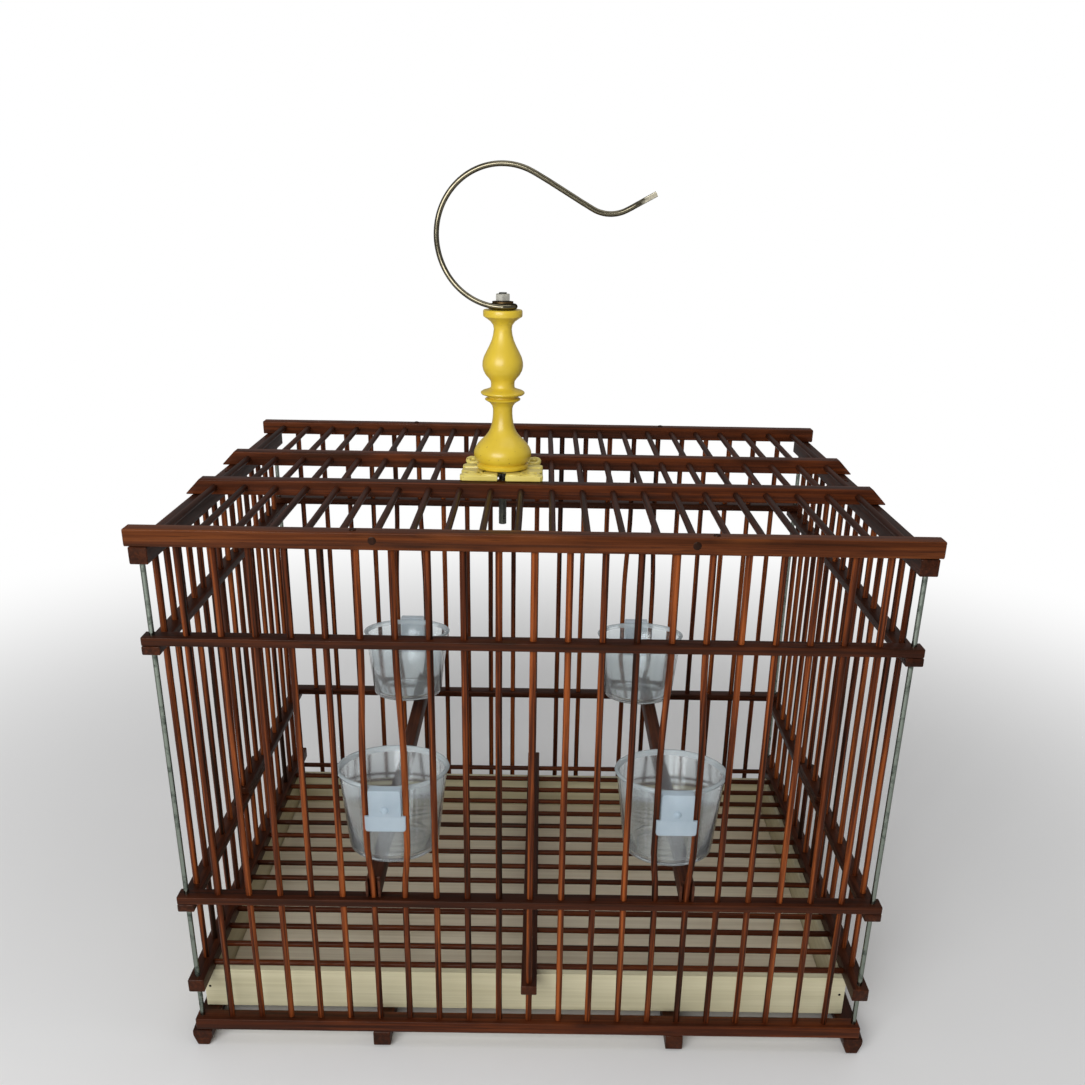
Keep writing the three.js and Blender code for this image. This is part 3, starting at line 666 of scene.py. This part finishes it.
dark_plug = varnish("dark_plug", "z", linear(48, 22, 13), linear(30, 13, 8), linear(12, 6, 4))
mesh = bmesh.new()
for side in (-1, 1):
    button(mesh, (side * PLUG_ASIDE, front_low[1], PLUG_LEVEL), PLUG, 16)
for rail_low in (front_low, back_low):
    for side in (-1, 1):
        button(mesh, (side * PIN_ASIDE, rail_low[1] + RAIL / 2, back_high[2]), PIN, 14, True)
finished("plugs_and_pins", mesh, "cage", "varnished_wood", dark_plug)

# ---- Floor grille ------------------------------------------------------------------
# Fifteen bars run left to right, through holes in one joist that runs front to back
# across the middle. Droppings fall between them into the tray.
low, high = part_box("floor_joist_and_bars")
floor_level = (low[2] + high[2]) / 2
FLOOR_STEPS = 30
FLOOR_WANDER = 0.2 * MM
mesh = bmesh.new()
for k in SIDE_BARS:
    seed = bar_rng.uniform(0, 200)
    path = []
    for index in range(FLOOR_STEPS + 1):
        x = low[0] + (high[0] - low[0]) * index / FLOOR_STEPS
        stray = FLOOR_WANDER * noise.noise((x * 12, seed, 1))
        path.append((x, k * PITCH + stray, floor_level + LYING_SAG * noise.noise((x * 12, seed, 5))))
    tube(mesh, path, BAR_RADIUS, BAR_SIDES, seed)
finished("floor_bars", mesh, "cage", "varnished_wood", varnish_x, "floor_joist_and_bars")
mesh = bmesh.new()
rail(mesh, (-RAIL / 2, low[1], low[2]), (RAIL / 2, high[1], high[2]), "y")
finished("floor_joist", mesh, "cage", "varnished_wood", varnish_y, "floor_joist_and_bars")

# ---- Tray --------------------------------------------------------------------------
# A shallow drawer of thin pale boards, nailed at the corners, that slides out to the
# right along the cross rails. The front board is paler than the floor board.


def pale_wood(name, along, light, dark):
    """Softwood under a thin pale wash, its edges soiled. along is the grain's axis."""
    finish = Finish(name)
    place = finish.place()
    stretch = [420.0, 420.0, 420.0]
    stretch["xyz".index(along)] = 7.0
    grain = finish.cloud(finish.stretched(place, stretch), 0.6, 6.0, Roughness=0.7, Distortion=0.2)
    stain = finish.cloud(place, 14.0, 4.0)
    stops = [(0.34, dark), (0.66, light)]
    color = finish.node("ShaderNodeValToRGB", {"stops": stops}, {0: grain * 0.7 + stain * 0.3})
    edge = finish.eased_edge_mask()
    color = finish.blend(edge * stain * 0.35, color, dark)
    bump = finish.bump(grain, 0.3, 0.3 * MM)
    return finish.surface({"Base Color": color, "Roughness": stain * 0.2 + 0.5, "Normal": bump})


cream_board = pale_wood("cream_board", "x", linear(228, 222, 190), linear(198, 190, 154))
cream_end = pale_wood("cream_end_board", "y", linear(208, 200, 170), linear(182, 172, 138))
# The floor board's colour is lighter than its own tan: painted light against the shade that falls inside
# the tray.
tan_board = pale_wood("tan_floor_board", "x", linear(236, 226, 202), linear(204, 190, 162))
BOARD_EASE = 0.5 * MM
for name, along, material in (
        ("tray_front_board", "x", cream_board), ("tray_back_board", "x", cream_board),
        ("tray_left_board", "y", cream_end), ("tray_right_board", "y", cream_end),
        ("tray_floor_board", "x", tan_board)):
    mesh = bmesh.new()
    rail(mesh, *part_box(name), along, BOARD_EASE)
    finished(name + "_dressed", mesh, "tray", "tray_wood", material, name)

NAIL_INSET, NAIL_LEVEL = 3.2 * MM, 28 * MM
NAIL = ((0.9, 0.5), (0.9, 0.0), (0.6, -0.15))
nail_steel = steel("nail_head", linear(52, 46, 42), 0.4, linear(30, 24, 20))
low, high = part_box("tray_front_board")
mesh = bmesh.new()
for x in (low[0] + NAIL_INSET, high[0] - NAIL_INSET):
    button(mesh, (x, low[1], NAIL_LEVEL), NAIL, 10)
finished("tray_nails", mesh, "tray", "rod_steel", nail_steel)

# ---- Perches -----------------------------------------------------------------------
# Two square-edged perches of plain dark wood lie across the front and back lower
# rails. A slot sawn in each end fits round a bar and keeps the perch in its place.
PERCH_SLOT = 3 * MM
PERCH_FORK = 149.7 * MM


def slab(mesh, outline, low, high, ease):
    """A flat piece cut to an outline, its upper and lower edges eased."""
    layer = mesh.verts.layers.float.get("edge") or mesh.verts.layers.float.new("edge")
    count = len(outline)
    inner = []
    for index, (x, y) in enumerate(outline):
        before, after = outline[index - 1], outline[(index + 1) % count]
        one = Vector((x - before[0], y - before[1])).normalized()
        two = Vector((after[0] - x, after[1] - y)).normalized()
        inward = Vector((-(one.y + two.y), one.x + two.x)).normalized()
        inner.append((x + inward.x * ease, y + inward.y * ease))
    levels = ((low, inner), (low + ease, outline), (high - ease, outline), (high, inner))
    rings = [[Vector((x, y, z)) for x, y in points] for z, points in levels]
    for ring in skin(mesh, rings):
        for vertex in ring:
            vertex[layer] = 1.0
    return mesh


perch_wood = varnish("perch_wood", "y", linear(92, 52, 34), linear(62, 32, 22), linear(34, 17, 13),
                     dullness=0.62)
for side in ("left", "right"):
    low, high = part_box(side + "_perch")
    x = (low[0] + high[0]) / 2
    half, end = (high[0] - low[0]) / 2, high[1]
    corners = ((half, -end), (half, end), (PERCH_SLOT, end), (PERCH_SLOT, PERCH_FORK),
               (-PERCH_SLOT, PERCH_FORK), (-PERCH_SLOT, end), (-half, end), (-half, -end),
               (-PERCH_SLOT, -end), (-PERCH_SLOT, -PERCH_FORK), (PERCH_SLOT, -PERCH_FORK),
               (PERCH_SLOT, -end))
    outline = [(x + across, along) for across, along in corners]
    mesh = slab(bmesh.new(), outline, low[2], high[2], EASE)
    finished(side + "_perch_dressed", mesh, side + "_perch", "varnished_wood", perch_wood, side + "_perch")

# ---- Feeder cups and clips ---------------------------------------------------------
# Clear moulded cups with a rolled rim, tapered so that they lean flat on the bars.
# Each hangs from a milky plate sprung between two bars, with wings outside them.
CUP_HEIGHT = 53.5 * MM
CUP_RIM = 33.6 * MM
CUP_FOOT = 27.6 * MM
CUP_WALL = 1.1 * MM
FOOT_HOLLOW = 1.0 * MM
FOOT_RING = 7 * MM
FOOT_TURN = 4 * MM
FOOT_FILLET = 1.4 * MM
ROLL_RADIUS = 1.2 * MM
RIM_ROLL = 2.6 * MM
CUP_SEGMENTS = 72
# How far the cups of each wall lean, and the level of their rims.
CUP_HANG = {"front": (math.atan2(CUP_RIM - CUP_FOOT, CUP_HEIGHT), 184.04 * MM),
            "back": (math.radians(7), 183.06 * MM)}


def moulding(name, scale, low_tone, high_tone, roughness, inputs):
    """Moulded plastic, a little cloudy, with these further inputs on its shader."""
    finish = Finish(name)
    cloud = finish.cloud(finish.place(), scale, 3.0)
    color = finish.blend(cloud, low_tone, high_tone)
    return finish.surface({"Base Color": color, "Roughness": cloud * 0.1 + roughness, **inputs})


clear_plastic = moulding("clear_moulded_plastic", 70.0, linear(236, 243, 246), linear(244, 249, 250), 0.05,
                         {"Transmission Weight": 0.92, "IOR": 1.33,
                          "Coat Weight": 0.6, "Coat Roughness": 0.05})
# The rolled rim gets a whiter, less clear plastic: painted highlight for the bright ring of light the rim
# catches.
rim_highlight_plastic = moulding("rim_painted_highlight", 200.0, linear(206, 220, 226), linear(232, 241, 244), 0.2,
                       {"Transmission Weight": 0.4, "IOR": 1.33, "Alpha": 0.7})
milky_plastic = moulding("milky_plastic", 120.0, linear(176, 196, 210), linear(208, 222, 232), 0.25,
                         {"Transmission Weight": 0.3, "IOR": 1.4, "Alpha": 0.62})


def turned(mesh, profile, segments, place=Matrix(), closed=False):
    """A shape turned from a profile of (radius, height); radius 0 closes an end."""
    rings = []
    for radius, height in profile:
        if radius <= 0:
            rings.append([mesh.verts.new(place @ Vector((0, 0, height)))])
        else:
            ring = []
            for i in range(segments):
                angle = math.tau * i / segments
                point = Vector((radius * math.cos(angle), radius * math.sin(angle), height))
                ring.append(mesh.verts.new(place @ point))
            rings.append(ring)
    pairs = list(zip(rings, rings[1:]))
    if closed:
        pairs.append((rings[-1], rings[0]))
    for one, two in pairs:
        for i in range(segments):
            j = (i + 1) % segments
            if len(one) == 1:
                mesh.faces.new((one[0], two[i], two[j]))
            elif len(two) == 1:
                mesh.faces.new((one[i], one[j], two[0]))
            else:
                mesh.faces.new((one[i], one[j], two[j], two[i]))
    return mesh


def cup_profile():
    """Outer wall, rolled rim and inner wall, from the foot's middle and back to it."""
    foot, inner_foot = -CUP_HEIGHT, CUP_FOOT - CUP_WALL
    profile = [(0, foot + FOOT_HOLLOW), (CUP_FOOT - FOOT_RING - FOOT_HOLLOW, foot + FOOT_HOLLOW),
               (CUP_FOOT - FOOT_RING, foot), (CUP_FOOT - FOOT_TURN, foot)]
    for step in range(1, 6):
        angle = math.radians(-90 + 17 * step)
        profile.append((CUP_FOOT - FOOT_TURN + FOOT_TURN * math.cos(angle),
                        foot + FOOT_TURN + FOOT_TURN * math.sin(angle)))
    profile.append((CUP_RIM - 0.5 * MM, -3.4 * MM))
    for step in range(8):
        angle = math.radians(-70 + 36 * step)
        profile.append((CUP_RIM - 0.3 * MM + 1.3 * MM * math.cos(angle),
                        ROLL_RADIUS * (math.sin(angle) - 1)))
    profile += [(CUP_RIM - CUP_WALL - 0.7 * MM, -3.6 * MM),
                (inner_foot + 0.1 * MM, foot + FOOT_TURN + FOOT_FILLET),
                (inner_foot - 2.2 * MM, foot + 2.9 * MM),
                (inner_foot - 5 * MM, foot + 2.2 * MM), (0, foot + 2.1 * MM)]
    return profile


CLIP_FACE = 156 * MM
CLIP_OVER_FOOT = 10 * MM
CLIP_EASE = 0.35 * MM
CLIP_PLATE = ((-9.5, 0), (9.5, 0), (9.5, 16.6), (9.2, 17.2), (8.6, 17.4),
              (-8.6, 17.4), (-9.2, 17.2), (-9.5, 16.6))
CLIP_WINGS = ((-12, 0.3), (-12, -8.2), (-11.4, -9.6), (-10, -10),
              (10, -10), (11.4, -9.6), (12, -8.2), (12, 0.3))
CLIP_SHEETS = ((CLIP_PLATE, 149.9 * MM, CLIP_FACE), (CLIP_WINGS, 154.3 * MM, 155.9 * MM))
RIVET_UP = 4.4 * MM
RIVET = ((0, 1.3), (1.2, 1.2), (2.0, 0.7), (2.4, 0.0), (2.4, -1.0), (0, -1.0))
RIM_OFF_WALL = 34.6 * MM
WALL_FACE = 150 * MM
for name in ("front_left_cup", "front_right_cup", "back_left_cup", "back_right_cup"):
    wall = name.split("_")[0]
    side = -1 if wall == "front" else 1
    lean, rim_level = CUP_HANG[wall]
    low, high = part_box(name)
    x = (low[0] + high[0]) / 2
    rim = Vector((x, side * (WALL_FACE - RIM_OFF_WALL), rim_level))
    place = Matrix.Translation(rim) @ Matrix.Rotation(-lean, 4, "X")
    mesh = turned(bmesh.new(), cup_profile(), CUP_SEGMENTS, place)
    cup = finished(name + "_moulded", mesh, name, "clear_plastic", clear_plastic, name).data
    cup.materials.append(rim_highlight_plastic)
    upright_cup = place.inverted()
    # the rim's faces take the painted highlight plastic
    for polygon in cup.polygons:
        if (upright_cup @ polygon.center).z > -RIM_ROLL:
            polygon.material_index = 1

    low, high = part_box(name + "_clip")
    clip_level = low[2] + CLIP_OVER_FOOT
    standing = Matrix.Rotation(math.radians(90), 4, "X")
    outward = Matrix.Rotation(math.radians(-90 * side), 4, "X")
    mesh = bmesh.new()
    for outline, near, far in CLIP_SHEETS:
        part = slab(bmesh.new(), [(across * MM, up * MM) for across, up in outline], 0, far - near,
                    CLIP_EASE)
        start = -near if side < 0 else far
        seat = Matrix.Translation((x, start, clip_level)) @ standing
        bmesh.ops.transform(part, matrix=seat, verts=part.verts)
        data = bpy.data.meshes.new("part")
        part.to_mesh(data)
        mesh.from_mesh(data)
        part.free()
    rivet_seat = Matrix.Translation((x, side * CLIP_FACE, clip_level + RIVET_UP)) @ outward
    turned(mesh, [(radius * MM, rise * MM) for radius, rise in RIVET], 20, rivet_seat)
    finished(name + "_clip_moulded", mesh, name, "milky_plastic", milky_plastic, name + "_clip")

# ---- Finial ------------------------------------------------------------------------
# Turned from one piece of wood and painted yellow, on a small carved plate with
# scrolled corners. The paint has dark specks and pores.
AXIS = Vector((-22 * MM, -17 * MM, 0))
SPECK_BROWN = linear(132, 72, 26)


def yellow_paint(name, low_tone, high_tone):
    """Brushed oil paint between two tones, with brown specks where pores show."""
    finish = Finish(name)
    place = finish.place()
    cloud = finish.cloud(place, 60.0, 4.0)
    specks = finish.cloud(place, 420.0, 2.0)
    dots = finish.share(specks + cloud * 0.3, 0.875, 0.92)
    color = finish.blend(cloud, low_tone, high_tone)
    color = finish.blend(dots * 0.8, color, SPECK_BROWN)
    bump = finish.bump(cloud * 0.5 - dots, 0.3, 0.4 * MM)
    return finish.surface({"Base Color": color, "Roughness": cloud * 0.2 + 0.28,
                           "Coat Weight": 0.3, "Coat Roughness": 0.2, "Normal": bump})


column_paint = yellow_paint("yellow_paint", linear(204, 170, 34), linear(236, 206, 62))
plate_paint = yellow_paint("pale_yellow_paint", linear(204, 182, 78), linear(240, 224, 128))

base_low, base_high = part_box("finial_base")
column_low, column_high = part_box("finial_column")
COLUMN_PROFILE = [
    (2.95, 0), (16.2, 0), (16.5, 0.4), (16.5, 2.0), (16.1, 2.5), (15.2, 2.8), (15.4, 3.2), (16.6, 4.2),
    (17.8, 6.0), (18.3, 8.2), (18.2, 10.0), (17.2, 12.4), (15.6, 14.8), (13.4, 17.2), (11.0, 19.4),
    (9.0, 22.0), (7.6, 24.8), (6.8, 27.8), (6.3, 31.0), (6.1, 34.0), (6.1, 36.6), (6.6, 38.6), (8.0, 40.4),
    (10.0, 41.6), (11.0, 42.2), (11.1, 42.8), (10.4, 43.3), (9.2, 43.6), (9.0, 44.2), (10.5, 44.7),
    (13.0, 45.5), (13.7, 46.3), (13.6, 47.0), (12.4, 47.8), (9.8, 48.6), (8.0, 49.3), (7.4, 50.0),
    (7.3, 52.0), (7.5, 53.6), (8.6, 55.2), (10.6, 57.4), (12.0, 60.0), (12.6, 62.6), (12.5, 65.2),
    (11.7, 68.2), (10.1, 71.4), (8.3, 74.8), (6.8, 78.2), (5.9, 81.6), (5.5, 84.6), (5.9, 87.0),
    (7.6, 89.2), (10.2, 91.0), (11.8, 92.0), (12.0, 92.8), (12.0, 95.2), (11.6, 95.9), (10.8, 96.0),
    (2.95, 96.0)]
COLUMN_SIDES = 56
column_seat = Matrix.Translation(AXIS + Vector((0, 0, column_low[2])))
mesh = turned(bmesh.new(), [(radius * MM, up * MM) for radius, up in COLUMN_PROFILE], COLUMN_SIDES,
              column_seat, closed=True)
finished("finial_turned", mesh, "cage", "yellow_wood", column_paint, "finial_column")

# One quarter of the plate, outward from the finial's axis, in millimetres. The front
# pair run out to a straight front edge, the back pair are cut away round their scrolls.
FRONT_QUARTER = ((2.5, 0), (2.5, 23.6), (3.2, 24), (24.2, 24), (25.8, 22.6), (26, 18.2), (24.8, 16.6),
                 (17, 15.5), (16, 12), (19, 10.6), (24, 10.4), (25.8, 8), (25.6, 4.2), (24, 2.5), (0, 2.5))
BACK_QUARTER = ((2.5, 0), (2.5, 22.6), (4.2, 24), (9.5, 23.8), (12, 21), (12, 16), (14.5, 12.5), (19, 11),
                (24, 10.8), (25.8, 8), (25.6, 4.2), (24, 2.5), (0, 2.5))
PLATE_EASE = 0.5 * MM
FRONT_THICKNESS = 3.9 * MM
SCROLL_STEPS = 34
SCROLL_FROM, SCROLL_TURN, SCROLL_HIGHEST = 215, 17, 50
SCROLL_CENTRE = (18.6, 16.6)
SCROLL_REACH, SCROLL_CLOSES = 6.6, 0.16
SCROLL_SUNK = 1.7
SCROLL_BEAD = 1.55 * MM
RIDGE = ((3.6, 21.6), (6, 22.4), (9, 22.2), (11.5, 20.8))
RIDGE_SUNK = 0.55 * MM
RIDGE_BEAD = 0.8 * MM
plate_top = base_high[2]
front_quarters = (-1, FRONT_QUARTER, plate_top - FRONT_THICKNESS, 0.4)
back_quarters = (1, BACK_QUARTER, base_low[2], 2.4)
mesh = bmesh.new()
for sx in (-1, 1):
    for sy, outline, underside, rise in (front_quarters, back_quarters):
        points = [(AXIS.x + sx * a * MM, AXIS.y + sy * b * MM) for a, b in outline]
        if sx * sy > 0:
            points.reverse()
        slab(mesh, points, underside, plate_top - PLATE_EASE, PLATE_EASE)
        scroll = []
        for step in range(SCROLL_STEPS):
            turn = math.radians(SCROLL_FROM - SCROLL_TURN * step)
            reach = SCROLL_REACH - SCROLL_CLOSES * step
            outer = max(0.0, math.cos(turn - math.radians(SCROLL_HIGHEST)))
            scroll.append((AXIS.x + sx * (SCROLL_CENTRE[0] + reach * math.cos(turn)) * MM,
                           AXIS.y + sy * (SCROLL_CENTRE[1] + reach * math.sin(turn)) * MM,
                           plate_top + (rise * (0.35 + 0.65 * outer) - SCROLL_SUNK) * MM))
        tube(mesh, scroll, SCROLL_BEAD, 10)
        ridge = [(AXIS.x + sx * a * MM, AXIS.y + sy * b * MM, plate_top - RIDGE_SUNK) for a, b in RIDGE]
        tube(mesh, ridge, RIDGE_BEAD, 8)
finished("finial_plate", mesh, "cage", "yellow_wood", plate_paint, "finial_base")

# ---- Threaded rod, washers and nuts ------------------------------------------------
# A plated threaded rod runs through the finial, with a big washer and a nut under the
# top bars and a nut over the hook's eye on the cap.
hook_steel = steel("bright_wire", linear(118, 112, 94), 0.08, linear(60, 54, 40), 0.5)
plated_steel = steel("plated_steel", linear(240, 238, 226), 0.34, linear(200, 196, 180))
# Paler steel for the hook's filed facet: bare filed metal, and painted highlight where the facet catches
# the light.
filed_steel_and_highlight = steel("filed_steel_and_highlight", linear(170, 164, 146), 0.3, linear(140, 134, 116))
brown_steel = steel("browned_steel", linear(104, 84, 56), 0.3, linear(62, 44, 26))
dark_steel = steel("dull_steel", linear(150, 152, 146), 0.2, linear(80, 80, 74))
THREAD_RADIUS = 2.6 * MM
THREAD_PITCH = 0.8 * MM
THREAD_DEPTH = 0.42 * MM
BORE_GAP = 0.2 * MM
THREAD_SIDES = 20
RINGS_PER_TURN = 10
HIDDEN_SKIP = 40

low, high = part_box("threaded_rod")
mesh = bmesh.new()
rings = []
count = int((high[2] - low[2]) / THREAD_PITCH * RINGS_PER_TURN)
for index in range(count + 1):
    z = low[2] + (high[2] - low[2]) * index / count
    # inside the finial the rod is left plain, with fewer rings
    hidden = base_low[2] < z < column_high[2]
    if hidden and index % HIDDEN_SKIP:
        continue
    ring = []
    for side in range(THREAD_SIDES):
        angle = math.tau * side / THREAD_SIDES
        phase = (z / THREAD_PITCH - side / THREAD_SIDES) % 1
        reach = THREAD_RADIUS - (0 if hidden else abs(phase - 0.5) * 2 * THREAD_DEPTH)
        ring.append(Vector((AXIS.x + reach * math.cos(angle), AXIS.y + reach * math.sin(angle), z)))
    rings.append(ring)
skin(mesh, rings)
finished("threaded_rod_cut", mesh, "cage", "bright_steel", dark_steel, "threaded_rod")


def nut(name, node, sides, corner, metal):
    """A hexagon nut or a washer, bored, with its corners chamfered."""
    low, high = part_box(node)
    radius = (high[1] - low[1]) / 2
    height = high[2] - low[2]
    bore = THREAD_RADIUS + BORE_GAP
    outside = ((0, 1 - corner), (corner * 0.5, 1), (1 - corner * 0.5, 1), (1, 1 - corner))
    levels = [(level, radius * scale) for level, scale in outside] + [(1, bore), (0, bore)]
    angles = [math.tau * i / sides for i in range(sides)]
    mesh = bmesh.new()
    rings = [[Vector((AXIS.x + reach * math.sin(angle), AXIS.y + reach * math.cos(angle),
                      low[2] + height * level)) for angle in angles] for level, reach in levels]
    made = skin(mesh, rings, False)
    for i in range(sides):
        j = (i + 1) % sides
        mesh.faces.new((made[-1][i], made[-1][j], made[0][j], made[0][i]))
    finished(name, mesh, "cage", "bright_steel", metal, node)


nut("under_washer", "rod_washer", 36, 0.04, dark_steel)
nut("under_nut", "rod_nut", 6, 0.12, dark_steel)
nut("top_washer", "eye_washer", 36, 0.06, brown_steel)
nut("top_nut", "cap_nut", 6, 0.12, plated_steel)

# ---- Hook --------------------------------------------------------------------------
# Bent from one length of bright wire: an eye round the rod, one big bend up and over the
# finial, and a straight fall to a turned-up tip that ends in a long filed facet.
HOOK_RADIUS = 1.59 * MM
EYE_RADIUS = 7.4 * MM
BEND_RADIUS = 39.4 * MM
TIP_RADIUS = 22 * MM
EYE_TURN, EYE_STEPS = 285, 26
# The bend starts at its lowest point, 270 degrees, and is in one plane from the next.
BEND_LOWEST, BEND_UPRIGHT_BY, BEND_LEAVES, BEND_STEP = 270, 200, 61, 11
FALL_LENGTH = 38 * MM
TIP_TURN, TIP_STEPS = 57, 6
TIP_LENGTHS = (8.5 * MM, 10 * MM)
FACET_REACH = 9 * MM
FACET_OFF_AXIS = 0.5 * MM
FACET_FLATNESS = 0.01 * MM
eye_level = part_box("hook")[0][2] + HOOK_RADIUS


def onward(start, heading, length):
    """The point that lies a length away from start in this direction."""
    return start[0] + length * math.cos(heading), start[1] + length * math.sin(heading)


corners = []
for step in range(EYE_STEPS, -1, -1):
    angle = math.radians(-90 + EYE_TURN * step / EYE_STEPS)
    corners.append(Vector((EYE_RADIUS * math.cos(angle), EYE_RADIUS * math.sin(angle), eye_level)))
for degrees in range(BEND_LOWEST - BEND_STEP, BEND_LEAVES - 1, -BEND_STEP):
    angle = math.radians(degrees)
    aside = max(0.0, (degrees - BEND_UPRIGHT_BY) / (BEND_LOWEST - BEND_UPRIGHT_BY))
    corners.append(Vector((BEND_RADIUS * math.cos(angle), -EYE_RADIUS * aside,
                           eye_level + BEND_RADIUS * (1 + math.sin(angle)))))
leaving = math.radians(BEND_LEAVES)
bend_end = (BEND_RADIUS * math.cos(leaving), BEND_RADIUS * (1 + math.sin(leaving)))
heading = leaving - math.pi / 2
tip_middle = onward(onward(bend_end, heading, FALL_LENGTH), heading + math.pi / 2, TIP_RADIUS)
for step in range(TIP_STEPS + 1):
    angle = heading + math.radians(TIP_TURN) * step / TIP_STEPS
    last = onward(tip_middle, angle - math.pi / 2, TIP_RADIUS)
    corners.append(Vector((last[0], 0, eye_level + last[1])))
for length in TIP_LENGTHS:
    last = onward(last, angle, length)
    corners.append(Vector((last[0], 0, eye_level + last[1])))


def smooth_path(points, steps):
    """A smooth curve through points that doesn't overshoot where their spacing changes."""
    ends = [points[0] * 2 - points[1]] + points + [points[-1] * 2 - points[-2]]
    path = []
    for p0, p1, p2, p3 in zip(ends, ends[1:], ends[2:], ends[3:]):
        t0 = 0.0
        t1 = t0 + (p1 - p0).length ** 0.5
        t2 = t1 + (p2 - p1).length ** 0.5
        t3 = t2 + (p3 - p2).length ** 0.5
        for step in range(steps):
            t = t1 + (t2 - t1) * step / steps
            a1 = p0 * ((t1 - t) / (t1 - t0)) + p1 * ((t - t0) / (t1 - t0))
            a2 = p1 * ((t2 - t) / (t2 - t1)) + p2 * ((t - t1) / (t2 - t1))
            a3 = p2 * ((t3 - t) / (t3 - t2)) + p3 * ((t - t2) / (t3 - t2))
            b1 = a1 * ((t2 - t) / (t2 - t0)) + a2 * ((t - t0) / (t2 - t0))
            b2 = a2 * ((t3 - t) / (t3 - t1)) + a3 * ((t - t1) / (t3 - t1))
            path.append(b1 * ((t2 - t) / (t2 - t1)) + b2 * ((t - t1) / (t2 - t1)))
    path.append(points[-1])
    return path


mesh = bmesh.new()
tube(mesh, [AXIS + point for point in smooth_path(corners, 4)], HOOK_RADIUS, 16, dome=0.1)
facet = AXIS.y - FACET_OFF_AXIS
for vertex in mesh.verts:
    if vertex.co.x > AXIS.x + last[0] - FACET_REACH and vertex.co.y < facet:
        vertex.co.y = facet
wire = finished("hook_wire", mesh, "hook", "bright_steel", hook_steel, "hook").data
# the facet's faces take the paler steel, partly a painted highlight
wire.materials.append(filed_steel_and_highlight)
for polygon in wire.polygons:
    if all(abs(wire.vertices[index].co.y - facet) < FACET_FLATNESS for index in polygon.vertices):
        polygon.material_index = 1
